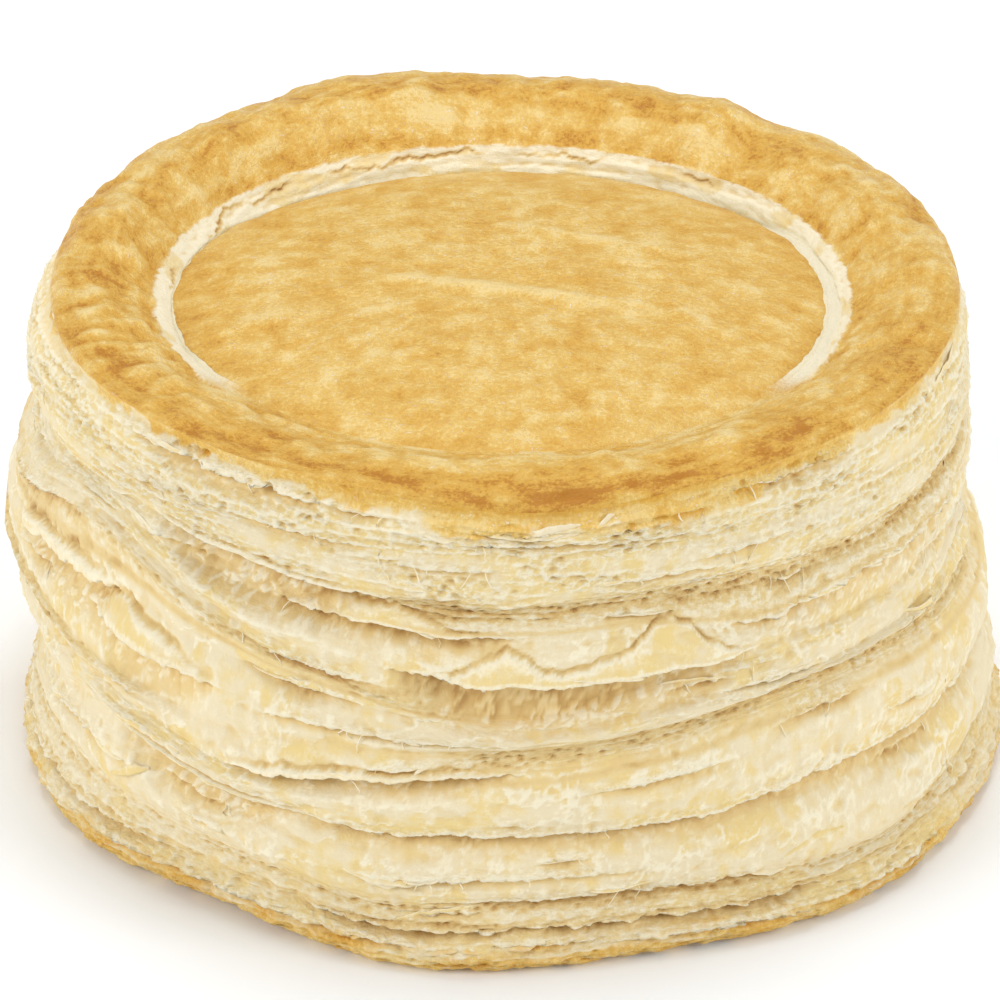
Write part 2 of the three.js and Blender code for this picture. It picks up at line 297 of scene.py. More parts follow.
def heightOf(turn, level):
    turn, level = np.broadcast_arrays(np.asarray(turn, float), np.asarray(level, float))
    upper, _, share = layersAround(level)
    rises = np.stack([sumOfHills(turn, layers[name][1]) + 0 * turn for name in layerNames])
    low = np.take_along_axis(rises, (upper - 1)[None], axis=0)[0]
    high = np.take_along_axis(rises, upper[None], axis=0)[0]
    wave = sum(rise * np.sin(waves * np.radians(turn) + slope * level + shift)
               for waves, slope, shift, rise in backWaves["waves"])
    behind = smooth(backWaves["from"], backWaves["to"], np.abs(turnGap(turn, 0)))
    room = np.minimum(level, np.maximum(drum["crustLevel"] - level, 0)) / backWaves["margin"]
    lean = drum["topLean"] * np.cos(np.radians(turn)) * (level / drum["crustLevel"]) ** 3
    curl = drum["footCurl"] * np.maximum(0, 1 - level)
    return level + between(low, high, share) + wave * behind * np.minimum(1, room) + lean + curl


def everySplit():
    made = list(splits)
    b = backSplits
    for n in range(b["count"]):
        layer = b["layers"][n % len(b["layers"])]
        width = between(*b["width"], chance(n + 1))
        start = b["from"] + b["span"] * (n + 0.3 * chance(n + 31)) / b["count"]
        depth = between(*b["depth"], chance(n + 61))
        made.append((layer, 0, start, start + width, depth, depth + b["reach"], b["standsOut"],
                     max(0.0, between(*b["skin"], chance(n + 91)))))
    return made


def plainRadius(level):
    levels, radii = np.array(sideShape["radii"], dtype=float).T
    upper = np.clip(np.searchsorted(levels, level), 1, len(levels) - 1)
    share = smooth(levels[upper - 1], levels[upper], level)
    return between(radii[upper - 1], radii[upper], share)


# small tears, shallower than the splits: (level, start, end, depth, reach below the lip, stands out)
frontTears = [
    (43.1, -50, -23, 2.3, 2.4, 0.5),
    (43.4, 26, 46, 1.0, 1.3, 0.25),
    (42.6, -4, 9, 1.5, 1.2, 0.25),
    (41.2, -6, 14, 0.8, 1.0, 0.2),
    (27.9, -86, -60, 1.0, 1.7, 0.4),
    (23.0, -30, 2, 0.6, 0.8, 0.2),
    (16.6, -58, -40, 0.9, 1.6, 0.3),
    (10.2, -74, -50, 0.7, 1.4, 0.3),
    (9.2, -20, 16, 0.5, 1.2, 0.2),
    (2.6, -60, -8, 0.9, 0.9, 0.25),
    (2.3, 12, 60, 0.8, 0.8, 0.2),
    (1.3, -9, -2, 1.9, 0.8, 0.1),
]
seededTears = {
    "count": 90,
    "seed": 71,
    "level": (1.5, 43.0),
    "width": (5.0, 20.0),
    "depth": (0.25, 0.85),
    "reach": (0.8, 1.9),
    "standsOut": 0.22,
}


def everyTear():
    t = seededTears
    draw = np.random.default_rng(t["seed"])
    made = list(frontTears)
    for n in range(t["count"]):
        start, width = draw.uniform(-180, 180), draw.uniform(*t["width"])
        made.append((draw.uniform(*t["level"]), start, start + width, draw.uniform(*t["depth"]),
                     draw.uniform(*t["reach"]), t["standsOut"]))
    return made


# every split and tear: (level, start, end, depth, reach, stands out, height of its skin, raggedness)
def everyLip():
    s = splitShape
    lips = [(layers[layer][0] - down, *rest, s["ragged"]) for layer, down, *rest in everySplit()]
    return lips + [(*tear, 0.0, s["tearRagged"] * s["ragged"]) for tear in everyTear()]


# one torn lip: the hollow under it, how far it stands out and droops, its rough edge, the smooth
# skin above it with the outline of that skin, and the painted shadow under the lip and above the skin
def tornLip(turn, level, lipLevel, start, end, depth, reach, standsOut, skinHeight, ragged, seed):
    s = splitShape
    torn = lineNoise(turn, seed, s["torn"], seed)
    jags = lineNoise(turn, seed, s["jags"], seed)
    fade = min(s["fade"], (end - start) / s["shortFade"])
    opened = arc(turn + s["endWander"] * torn, start, end, fade)
    below = lipLevel + ragged * torn - level
    under = smooth(-s["sharpness"], s["sharpness"], below)
    above = opened * (1 - under)
    down, up = np.maximum(below, 0), np.minimum(below, 0)
    reach = reach * np.clip(0.1 + 0.9 * opened ** 0.8 + 0.12 * torn, 0.1, 1.2)
    hollow = s["hollowShare"] * depth * np.clip(1 - below / reach, 0, 1) ** s["hollowCurve"]
    size = min(1.0, depth / s["fullDroop"])
    rise = size * opened * s["undercut"] * under * np.exp(-down / s["droopFade"])
    rise = rise - size * above * s["droop"] * np.exp(up / s["droopFade"])
    skinTop = sumOfHills(turn, skinHeight) if isinstance(skinHeight, list) else skinHeight + 0 * turn
    skinThere = above * np.clip(2 * skinTop, 0, 1)
    skinTop = skinTop * opened ** 0.7 * (0.9 + 0.45 * jags)
    skin = skinThere * (1 - smooth(skinTop - 0.1, skinTop + 0.06, -below))
    inside, edgeHalf = s["skinEdge"]
    outside, shadeHalf = s["skinShade"]
    skinGap = skinThere * hill(-below - skinTop - outside, shadeHalf)
    lip = above * standsOut * np.exp(up / s["lipFade"])
    return {
        "hollow": opened * under * hollow,
        "lip": lip + s["skinStandsOut"] * skin - s["skinGap"] * skinGap,
        "rise": rise,
        "rough": above * hill(below, s["roughHeight"]),
        "skin": skin,
        "skinEdge": skinThere * hill(-below - skinTop + inside, edgeHalf),
        "skinGap": skinGap,
        "creaseAndShadow": opened * under * np.exp(-down / s["creaseFade"]) * min(1.0, depth / s["fullCrease"]),
    }


# the side without its fine relief, and the parts of it that colour the dough
def broadSide(turn, level):
    s = sideShape
    swell = sum(rise * patch(turn, level, centre, spread, height, spreadUp)
                for centre, spread, height, spreadUp, rise in s["outline"])
    low, high, fromLevel, toLevel = s["puff"]
    _, gap, share = layersAround(level)
    bulge = between(low, high, smooth(fromLevel, toLevel, level))
    puff = bulge * np.minimum(1, gap / s["fullPuffGap"]) * np.sin(math.pi * share)
    shape = np.broadcast_shapes(turn.shape, level.shape)
    summed = {key: np.zeros(shape) for key in ("hollow", "lip", "rise")}
    strongest = {key: np.zeros(shape) for key in ("rough", "skin", "skinEdge", "skinGap", "creaseAndShadow")}
    for n, lip in enumerate(everyLip()):
        part = tornLip(turn, level, *lip, n)
        for key in summed:
            summed[key] += part[key]
        for key in strongest:
            strongest[key] = np.maximum(strongest[key], part[key])
    flat = np.zeros(shape)
    bandDepth = np.zeros(shape)
    for layer, down, start, end, half, depth in bands:
        present = arc(turn, start, end, bandShape["fade"])
        above = level - layers[layer][0] + down
        inBand = present * hill(above, half)
        bandDepth += depth * inBand
        flat = np.maximum(flat, inBand)
        beside = present * hill(above + bandShape["creaseBelow"] * half, bandShape["creaseHalf"])
        creaseAndShadow = bandShape["raisedCrease" if depth < 0 else "creaseAndShadow"] * beside
        strongest["creaseAndShadow"] = np.maximum(strongest["creaseAndShadow"], creaseAndShadow)
    crust = drum["crustLevel"]
    calm = 1 - smooth(crust - s["calm"], crust, level)
    calmFrom, calmTo = s["calmTears"]
    calmTear = 1 - smooth(crust - calmFrom, crust - calmTo, level)
    found = {key: value * calmTear for key, value in {**summed, **strongest}.items()}
    relief = swell + puff + summed["lip"] - found["hollow"] - bandDepth
    relief = between(sumOfHills(turn, s["rimOutline"]), relief, calm)
    return {**found, "radius": plainRadius(level) + relief, "flat": flat * calm}


# The fine relief of the side. Each kind of dough has its own function, which gives its relief and
# what it adds to the colour: yellow, white, painted shade for its hollows, pores and creases, and "bright"
# for what stays white on a skin.
# Noises are (amount, mm round the drum, mm up it, seed), and along numbered lines (amount, mm along
# the line, step from line to line, seed).

zones = {
    "sponge": (34.9, 36.0),     # spongy dough above this level, puffed sheets below
    "loose": (28.5, 30.5),      # the sheets above this level are partly torn
    "foot": (4.4, 6.4),
    "crustBlend": 0.8,
    "caveDepth": 1.4,           # a hollow this deep has a wrinkled wall
    "layersInFoot": 0.9,
    "spongeHidesSheets": 0.7,
}
fringes = {
    # rows of torn fringe: (level, how much of the way round it shows, how porous)
    "rows": [(43.2, 0.8, 1.0), (42.1, 0.65, 1.0), (40.9, 0.7, 0.85), (39.6, 0.5, 0.6), (38.3, 0.65, 0.6),
             (37.0, 0.5, 0.45), (35.8, 0.65, 0.5)],
    "height": 0.24,
    "half": 0.17,
    "gutter": (0.42, 0.26, 0.4),    # under the fringe: how far below, half height, depth
    "tornBelow": (0.45, 0.6),       # how far below, half height
    "tintBelow": (0.9, 0.45),
    "wander": [(0.4, 16, 1, 500), (0.14, 3, 1, 520), (0.07, 0.9, 1, 540)],
    "presence": [(1.0, 10, 1, 560)],
    "strength": 0.55,
    "unevenness": [(0.6, 1.2, 1, 580)],
    "yellow": 0.4,
    "white": 0.45,
}
sponge = {
    # how torn the dough is: under the crust, by its fringes, on rough lips, flat bands, foot, sheets
    "torn": {"top": 0.36, "fringes": 0.55, "rough": 0.4, "flat": 0.25, "foot": 0.12, "loose": 0.28},
    "tornPatches": [(0.6, 9, 2.6, 24)],
    "inCaves": 0.8,               # the share that is lost there
    # wavy lines that part into lens-shaped pits
    "pitch": 0.78,
    "lineHeight": 0.17,
    "pitDepth": 0.27,
    "lineAt": (0.72, 0.16),       # place in the pitch, half width
    "pitAt": (0.27, 0.2),
    "warp": [(0.9, 10, 3.5, 60), (0.35, 2.6, 1.3, 61)],
    "strength": [(0.8, 9, 3.37, 62), (0.3, 1.5, 5.3, 63)],
    "parting": [(0.8, 3.2, 2.71, 64), (0.7, 1.0, 7.9, 65)],
    "partsFrom": (0.66, 0.55, 0.4),    # edge, how far torn dough lowers it, softness
    # a web of bubbles, some of them open pores
    "webCells": (1.2, 0.6, 5),
    "webWander": [(0.6, 3, 1, 28)],
    "webHalf": 0.13,
    "webHeight": 0.1,
    "poreDepth": 0.4,
    "white": (0.55, 0.35),        # lines, web
    "yellow": (0.5, 0.5),         # pits, then bubbles as a share of them
    "painted_shade": (0.4, 0.2),           # painted shade in pores, pits
}
thinLayer = {
    # layers that never parted, each standing out more or less as it goes round
    "pitch": 0.5,
    "height": 0.3,
    "warp": [(0.5, 26, 4.5, 1), (0.2, 6, 1.6, 2)],
    "warpAmount": 1.6,
    "strength": [(0.8, 7, 3.37, 3), (0.3, 1.8, 5.1, 4)],
    "at": (0.45, 0.27),
    "poreCells": (0.9, 0.34, 7),
    "poreDepth": 0.3,
    "poreShade": (0.22, 0.45),     # painted shade in the pores: on the foot, and more in the bands
    "gapShade": (0.7, 0.25),       # painted shade between the layers: in the bands, and less on the foot
    "white": 0.45,
    # the bands' darker tan, partly their own colour and partly painted shade of the valley they lie in
    "bandShade": 0.32,
    "bandBlotches": [(0.4, 4, 0.8, 66)],
    "darkBands": (7, 14),         # the bands' painted shade is lighter below, darker above
    "lowBands": 0.3,
}
sheetDough = {
    "lumps": [(1.0, 7.5, 4.6, 8), (0.35, 3.4, 2.6, 9), (0.22, 1.5, 1.1, 67)],
    "lumpHeight": 0.3,
    "streaks": [(1.0, 1.4, 7.0, 10)],
    "streakHeight": 0.07,
    # a skin has torn off the sheets in patches
    "tornOff": [(1.0, 11, 5.0, 12), (0.5, 3.0, 2.2, 13), (0.16, 0.9, 0.7, 14)],
    "tornOffEdges": (0.32, -0.25),
    "outlineShows": [(1.0, 6, 3, 15)],
    "skin": 0.14,
    # raised crinkles, and soft creases with painted shade in them
    "crinkleHeight": 0.13,
    "creaseDepth": 0.16,
    "crinkleWander": [(0.3, 1.1, 0.9, 81)],
    "crinkleLines": [((1.0, 4.2, 3.4, 80), 1, 0.085), ((1.0, 2.4, 4.6, 83), -1, 0.07)],
    "crinklesShow": [(1.0, 9, 4, 82)],
    "creases": [(1.0, 3.4, 1.3, 84)],
    "dotCells": (2.2, 2.2, 30),
    "dotHeight": 0.06,
    "yellow": (0.6, 0.15),        # where the skin tore off, less on the streaks
    "white": 0.2,
    "bright": (0.6, 0.55),        # dots, crinkles
    # painted shade in the soft creases
    "painted_shade": 0.13,
}
caveWall = {
    "combs": [(1.0, 1.6, 2.6, 11), (0.7, 0.9, 0.9, 16)],    # wrinkles
    "combHeight": 0.13,
    "blisterCells": (0.9, 0.8, 29),
    "blisterHeight": 0.2,
    "white": 0.6,
    "fullShade": 2.4,              # a hollow this deep has the darkest painted shade
    "painted_shade": (0.58, 0.6, 0.75),    # painted shade all over, in the wrinkles, less on the blisters
}
frothy = {
    "grain": [(1.0, 0.8, 0.5, 17), (0.6, 1.6, 0.9, 18)],
    "height": 0.14,
    "white": 0.35,
}
footDough = {
    "rag": [(0.34, 2.6, 1.4, 19), (0.22, 1.1, 0.8, 25)],
    "pale": (-66, 30, 5.5, 3),    # a lighter place: turn, spread, level, spread in level
    "yellow": 0.15,
    # a little painted shade all over the foot
    "painted_shade": 0.05,
    "lessWhite": 0.75,
}
sideTone = {
    "yellow": 0.26,
    "mottle": [(1.0, 1.6, 1.9, 26)],
    "mottled": 0.32,
    "patches": [(0.35, 15, 5, 27)],
    "skinYellow": (0.6, 0.3),
    "lessWhiteOnSkin": 0.7,
    "skinEdgeBright": 0.9,
    # painted shadow in the gap above a skin's top and in the crease under a lip
    "skinGapShade": 0.35,
    "creaseShade": 0.85,
    "creaseDepth": 0.12,
}


def sideZones(turn, level, broad):
    z = zones
    top = smooth(*z["sponge"], level) + 0 * turn
    foot = 1 - smooth(*z["foot"], level) + 0 * turn
    cave = np.clip(broad["hollow"] / z["caveDepth"], 0, 1)
    thin = np.maximum(broad["flat"], z["layersInFoot"] * foot) * (1 - cave)
    return {
        **broad,
        "up": heightOf(turn, level),
        "top": top,
        "foot": foot,
        "cave": cave,
        "thin": thin,
        "sheet": (1 - z["spongeHidesSheets"] * top) * (1 - thin),
        "nearCrust": smooth(drum["crustLevel"] - z["crustBlend"], drum["crustLevel"], level),
    }


def fringeRows(turn, level, zone):
    f = fringes
    ridge, torn, tint = (np.zeros(np.broadcast_shapes(turn.shape, level.shape)) for n in range(3))
    gutterBelow, gutterHalf, gutterDepth = f["gutter"]
    tornBelow, tornHalf = f["tornBelow"]
    tintBelow, tintHalf = f["tintBelow"]
    for n, (at, shows, porous) in enumerate(f["rows"]):
        above = level - at - layered(turn, at, f["wander"], n)
        present = smooth(0.0, 0.45, layered(turn, at, f["presence"], n) + shows - 0.3)
        strength = f["strength"] + layered(turn, at, f["unevenness"], n)
        gutter = gutterDepth * hill(above + gutterBelow, gutterHalf)
        ridge += present * (hill(above, f["half"]) * strength - gutter)
        torn = np.maximum(torn, present * porous * hill(above + tornBelow, tornHalf))
        tint += present * hill(above + tintBelow, tintHalf)
    part = {
        "relief": f["height"] * zone["top"] * ridge,
        "yellow": f["yellow"] * np.clip(tint, 0, 1) * zone["top"],
        "white": f["white"] * zone["top"] * np.clip(ridge, 0, 1),
    }
    return part, torn


def howTorn(turn, level, zone, byFringes):
    amount = sponge["torn"]
    patches = layered(turn, level, sponge["tornPatches"])
    torn = zone["top"] * (amount["top"] + amount["fringes"] * byFringes + patches)
    torn = torn + sum(amount[key] * zone[key] for key in ("rough", "flat", "foot"))
    torn = torn + amount["loose"] * smooth(*zones["loose"], level) * (1 - zone["top"])
    whole = (1 - zone["nearCrust"]) * (1 - zone["skin"]) * (1 - sponge["inCaves"] * zone["cave"])
    return np.clip(torn, 0, 1) * whole


def spongyDough(turn, level, zone, torn):
    s = sponge
    count = level / s["pitch"] + layered(turn, level, s["warp"])
    number = np.floor(count)
    within = count - number
    lineAt, lineHalf = s["lineAt"]
    line = hill(within - lineAt, lineHalf) * np.clip(0.5 + lineNoise(turn, number, s["strength"]), 0, 1.3)
    edge, lowered, softness = s["partsFrom"]
    edge = edge - lowered * torn
    pitAt, pitHalf = s["pitAt"]
    parted = smooth(edge, edge + softness, lineNoise(turn, number, s["parting"]))
    pits = parted * hill(within - pitAt, pitHalf)
    near, gap, own = cells(turn + layered(turn, level, s["webWander"]), level, *s["webCells"])
    web = hill(gap, s["webHalf"])
    bubbles = np.clip(1.15 - near / 0.55, 0, 1) * (1 - web)
    pores = bubbles * smooth(0.7, 0.95, own * (0.4 + 0.8 * torn)) * smooth(0.35, 0.9, torn) * zone["top"]
    spongy = smooth(0.05, 0.6, torn)
    relief = s["webHeight"] * (web - 0.45 * bubbles) + s["lineHeight"] * line - s["pitDepth"] * pits
    return {
        "relief": spongy * relief - s["poreDepth"] * pores,
        "yellow": s["yellow"][0] * spongy * (pits + s["yellow"][1] * bubbles),
        "white": spongy * (s["white"][0] * line + s["white"][1] * web),
        "painted_shade": s["painted_shade"][0] * pores + s["painted_shade"][1] * spongy * pits,
    }


def thinLayers(turn, level, zone):
    t = thinLayer
    count = level / t["pitch"] + t["warpAmount"] * layered(turn, level, t["warp"])
    number = np.floor(count)
    at, half = t["at"]
    strength = np.clip(0.5 + lineNoise(turn, number, t["strength"]), 0, 1.3)
    layer = (hill(count - number - at, half) - 0.4) * strength
    near, _, own = cells(turn, zone["up"], *t["poreCells"])
    pores = np.clip(1.1 - near / 0.5, 0, 1) * smooth(0.5, 0.8, own) * zone["thin"]
    dark = between(t["lowBands"], 1.0, smooth(*t["darkBands"], level))
    poreShade = t["poreShade"][0] + t["poreShade"][1] * zone["flat"]
    gapShade = t["gapShade"][0] - t["gapShade"][1] * zone["foot"]
    bandShade = dark * zone["flat"] * (t["bandShade"] + layered(turn, level, t["bandBlotches"]))
    return {
        "relief": t["height"] * layer * zone["thin"] - t["poreDepth"] * pores,
        "white": t["white"] * np.clip(layer, 0, 1) * zone["thin"],
        "painted_shade": poreShade * pores + gapShade * np.clip(-layer - 0.08, 0, 1) * zone["thin"] + bandShade,
        "layer": layer,
    }


def puffedSheets(turn, level, zone):
    s = sheetDough
    below = 1 - zone["top"]
    open_ = zone["sheet"] * (1 - zone["cave"])
    lumps = layered(turn, level, s["lumps"])
    streaks = layered(turn + lumps, level, s["streaks"])
    tornOff = layered(turn, level, s["tornOff"])
    cover = sum(smooth(-0.025, 0.025, tornOff - edge) for edge in s["tornOffEdges"]) / 2
    outline = sum(hill(tornOff - edge - 0.03, 0.03) for edge in s["tornOffEdges"])
    outline = outline * smooth(0.0, 0.5, layered(turn, level, s["outlineShows"]))
    meander = layered(turn, level, s["crinkleWander"])
    crinkles = sum(hill(layered(turn, level, [noise]) + way * meander, half)
                   for noise, way, half in s["crinkleLines"])
    shown = smooth(-0.15, 0.4, layered(turn, level, s["crinklesShow"])) * (1 - zone["skin"])
    crinkles = crinkles * shown * open_
    creases = smooth(0.1, 0.55, layered(turn, level, s["creases"]) + meander) * open_
    near, _, own = cells(turn, level, *s["dotCells"])
    dots = smooth(0.22, 0.08, near) * smooth(0.7, 0.85, own) * open_
    relief = zone["sheet"] * (s["lumpHeight"] * lumps + s["streakHeight"] * streaks)
    relief = relief + s["skin"] * cover * below + s["dotHeight"] * dots
    return {
        "relief": relief + s["crinkleHeight"] * crinkles - s["creaseDepth"] * creases,
        "yellow": s["yellow"][0] * (0.5 - cover) * below - s["yellow"][1] * streaks,
        "white": outline * open_ + s["white"] * smooth(0.1, 0.7, streaks),
        "bright": s["bright"][0] * dots + s["bright"][1] * crinkles,
        "painted_shade": s["painted_shade"] * creases * (1 - crinkles),
    }


def caveWalls(turn, zone):
    c = caveWall
    cave, up = zone["cave"], zone["up"]
    combs = layered(turn, up, c["combs"])
    _, gap, own = cells(turn + 0.8 * combs, up + 0.4 * combs, *c["blisterCells"])
    blisters = smooth(0.0, 0.4, gap) * smooth(0.15, 0.6, own)
    allOver, inCombs, onBlisters = c["painted_shade"]
    painted_shade = np.clip(zone["hollow"] / c["fullShade"], 0, 1) ** 0.8
    return {
        "relief": cave * (c["combHeight"] * combs + c["blisterHeight"] * blisters),
        "white": c["white"] * cave * blisters,
        "painted_shade": painted_shade * (allOver + inCombs * combs * cave) * (1 - onBlisters * blisters),
    }


def frothyDough(turn, level, rough):
    froth = layered(turn, level, frothy["grain"])
    return {
        "relief": frothy["height"] * froth * rough,
        "white": frothy["white"] * rough * smooth(-0.2, 0.6, froth),
    }


def fineSide(turn, level, broad):
    c = sideTone
    zone = sideZones(turn, level, broad)
    foot, skin, open_ = zone["foot"], zone["skin"], 1 - zone["nearCrust"]
    fringe, byFringes = fringeRows(turn, level, zone)
    torn = howTorn(turn, level, zone, byFringes)
    rough = np.clip(np.maximum(0.9 * zone["rough"], torn) * (1 - zone["cave"]), 0, 1) * (1 - 0.8 * skin)
    thin = thinLayers(turn, level, zone)
    parts = [fringe, spongyDough(turn, level, zone, torn), thin, puffedSheets(turn, level, zone),
             caveWalls(turn, zone), frothyDough(turn, level, rough)]
    total = {key: sum(part.get(key, 0) for part in parts)
             for key in ("relief", "yellow", "white", "bright", "painted_shade")}
    relief = total["relief"] - c["creaseDepth"] * zone["creaseAndShadow"]
    relief = (relief + layered(turn, level, footDough["rag"]) * foot - sideShape["settle"]) * open_
    mottle = layered(turn, zone["up"], c["mottle"])
    yellow = total["yellow"] + c["yellow"] + c["mottled"] * mottle + layered(turn, level, c["patches"])
    skinYellow = c["skinYellow"][0] + c["skinYellow"][1] * mottle
    yellow = between(yellow + footDough["yellow"] * foot, skinYellow, skin)
    white = np.clip(total["white"] * (1 - c["lessWhiteOnSkin"] * skin), 0, 1)
    white = white + c["skinEdgeBright"] * zone["skinEdge"] + total["bright"]
    # painted shade: from every kind of dough, in the gap above a skin and in the crease under a lip
    painted_shade = total["painted_shade"] + c["skinGapShade"] * zone["skinGap"] + c["creaseShade"] * zone["creaseAndShadow"]
    pale = patch(turn, level, *footDough["pale"])
    marks = {
        "yellow": yellow - 0.25 * pale,
        "white": white * (1 - footDough["lessWhite"] * foot),
        "painted_shade": (painted_shade + footDough["painted_shade"] * foot) * (1 - 0.5 * pale),
        "rough": rough + 0.6 * zone["thin"],
    }
    marks = {key: np.clip(value, 0, 1) for key, value in marks.items()}
    marks["thin"] = thin["layer"]
    return relief, {key: value * (1 - 0.5 * zone["nearCrust"]) for key, value in marks.items()}


def gridFaces(columns, rows, closed):
    c = np.arange(columns if closed else columns - 1)[:, None]
    r = np.arange(rows - 1)[None, :]
    here, there = c * rows + r, ((c + 1) % columns) * rows + r
    return np.stack([here, there, there + 1, here + 1], axis=-1).reshape(-1, 4)


def unit(vectors):
    return vectors / np.maximum(np.linalg.norm(vectors, axis=-1, keepdims=True), 1e-12)


# the mean of the faces round each point, so that a folded lip isn't shaded from the hollow behind it
def gridNormals(points):
    following = np.roll(points, -1, axis=0)
    face = unit(np.cross(following[:, 1:] - points[:, :-1], points[:, 1:] - following[:, :-1]))
    face = np.pad(face, ((0, 0), (1, 1), (0, 0)), mode="edge")
    round_ = face + np.roll(face, 1, axis=0)
    return unit(round_[:, 1:] + round_[:, :-1])


def makeMesh(name, points, faces, marks, normals=None):
    mesh = bpy.data.meshes.new(name)
    low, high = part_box("pastry_case")
    mesh.from_pydata(np.clip(points * mm, low, high).tolist(), [], faces)
    mesh.validate()
    for mark, values in marks.items():
        if values.ndim == 2:
            layer = mesh.attributes.new(mark, "FLOAT_VECTOR", "POINT")
            layer.data.foreach_set("vector", values.astype(np.float32).ravel())
        else:
            layer = mesh.attributes.new(mark, "FLOAT", "POINT")
            layer.data.foreach_set("value", values.astype(np.float32))
    mesh.polygons.foreach_set("use_smooth", np.ones(len(mesh.polygons), dtype=bool))
    if normals is not None:
        mesh.normals_split_custom_set_from_vertices(normals.tolist())
    mesh.update()
    piece = bpy.data.objects.new(name, mesh)
    bpy.context.scene.collection.objects.link(piece)
    return piece


def addPiece(piece, material):
    piece.data.materials.append(material)
    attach(piece, "root")
    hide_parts("pastry_case")
    print("made", piece.name, len(piece.data.polygons), "faces")


def newGroup(name, inputs, outputs):
    group = bpy.data.node_groups.new(name, "ShaderNodeTree")
    for label, kind, value in inputs:
        socket = group.interface.new_socket(name=label, in_out="INPUT", socket_type=kind)
        if value is not None:
            socket.default_value = value
    for label, kind in outputs:
        group.interface.new_socket(name=label, in_out="OUTPUT", socket_type=kind)
    return group, group.nodes.new("NodeGroupInput"), group.nodes.new("NodeGroupOutput")


def wire(tree, source, target):
    tree.links.new(source, target)


def mathNode(tree, operation, first, second=None, third=None):
    node = tree.nodes.new("ShaderNodeMath")
    node.operation = operation
    for socket, value in zip(node.inputs, (first, second, third)):
        if value is None:
            continue
        if isinstance(value, (int, float)):
            socket.default_value = value
        else:
            wire(tree, value, socket)
    return node.outputs[0]


def remap(tree, value, fromLow, fromHigh, toLow=0.0, toHigh=1.0):
    node = tree.nodes.new("ShaderNodeMapRange")
    node.interpolation_type = "SMOOTHSTEP"
    wire(tree, value, node.inputs["Value"])
    node.inputs["From Min"].default_value = fromLow
    node.inputs["From Max"].default_value = fromHigh
    node.inputs["To Min"].default_value = toLow
    node.inputs["To Max"].default_value = toHigh
    return node.outputs["Result"]


def mixColour(tree, share, first, second):
    node = tree.nodes.new("ShaderNodeMix")
    node.data_type = "RGBA"
    for name, value in (("Factor", share), ("A", first), ("B", second)):
        socket = node.inputs[name]
        if isinstance(value, (int, float)):
            socket.default_value = value
        elif isinstance(value, tuple):
            socket.default_value = (*value, 1.0)
        else:
            wire(tree, value, socket)
    return node.outputs["Result"]


def noiseNode(tree, place, scale, detail, roughness, stretch):
    if stretch:
        mapping = tree.nodes.new("ShaderNodeMapping")
        mapping.inputs["Scale"].default_value = stretch
        wire(tree, place, mapping.inputs["Vector"])
        place = mapping.outputs["Vector"]
    node = tree.nodes.new("ShaderNodeTexNoise")
    node.inputs["Scale"].default_value = scale
    node.inputs["Detail"].default_value = detail
    node.inputs["Roughness"].default_value = roughness
    wire(tree, place, node.inputs["Vector"])
    return node.outputs["Fac"]


# a value's swing round its middle, added onto another value
def swing(tree, value, amount, onto, middle=0.5):
    return mathNode(tree, "MULTIPLY_ADD", mathNode(tree, "SUBTRACT", value, middle), amount, onto)


doughColours = {
    "cream": (0.80, 0.688, 0.46),
    "pale": (0.875, 0.797, 0.59),
    "butter": (0.80, 0.62, 0.27),
    # painted shade: warm tones laid into hollows, pores and creases, darker as the shade mark rises
    "honeyShade": (0.755, 0.57, 0.265),
    "tanShade": (0.61, 0.40, 0.15),
    "brownShade": (0.37, 0.18, 0.05),
    "glaze": (0.88, 0.70, 0.34),
    "lightGold": (0.79, 0.53, 0.145),
    "gold": (0.71, 0.40, 0.062),
    "toasted": (0.50, 0.20, 0.012),
}

# what every surface of baked dough shares, in millimetres along its layers:
# (scale, detail, roughness, stretch)
grainNoises = {
    "Mottle": (0.55, 3, 0.6, None),
    "Fine": (2.4, 3, 0.7, None),
    "Lines": (0.5, 2, 0.6, (0.8, 0.8, 6.0)),
    "Flakes": (1.0, 3, 0.7, (1.1, 1.1, 3.4)),
}
grainSockets = [(name, "NodeSocketFloat", 0.5) for name in grainNoises]
# how far each grain moves the tones, and over what stretch of a tone each colour comes in
paleTone = {
    "yellowByMottle": 1.3,
    "yellowByLines": 0.4,
    "butter": (0.1, 0.8),
    "whiteByFine": 1.3,
    "fineMiddle": 0.48,
    "whiteByTorn": 2.0,
    "pale": (0.05, 0.95),
    "shadeByMottle": (0.8, 0.6),
    "shadeByTorn": -1.6,
    # over what stretch of the painted shade mark each shade colour comes in
    "honeyShade": (0.0, 0.5),
    "tanShade": (0.4, 0.95),
    "brownShade": (0.85, 1.3),
}
crustTone = {
    "byGrain": {"Mottle": 1.0, "Lines": 0.2, "Fine": 1.7, "Flakes": 0.6},
    "gold": (0.1, 0.6),
    "toasted": (0.55, 1.2),
    "glaze": (0.22, -0.1),
    "glazeMost": 0.6,
    # painted glints: pale flecks on the fine grain, in flakes, where the tone is light
    "glintsByFine": (0.54, 0.62),
    "glintsByFlakes": (0.5, 0.62, 0.05, 0.85),
    "glintsByTone": (0.85, 0.4, 0.1, 1.0),
}


def makeGrainGroup():
    outputs = [(name, "NodeSocketFloat") for name in grainNoises]
    group, given, out = newGroup("dough grain", [("Space", "NodeSocketVector", None)], outputs)
    for name, settings in grainNoises.items():
        wire(group, noiseNode(group, given.outputs["Space"], *settings), out.inputs[name])
    return group
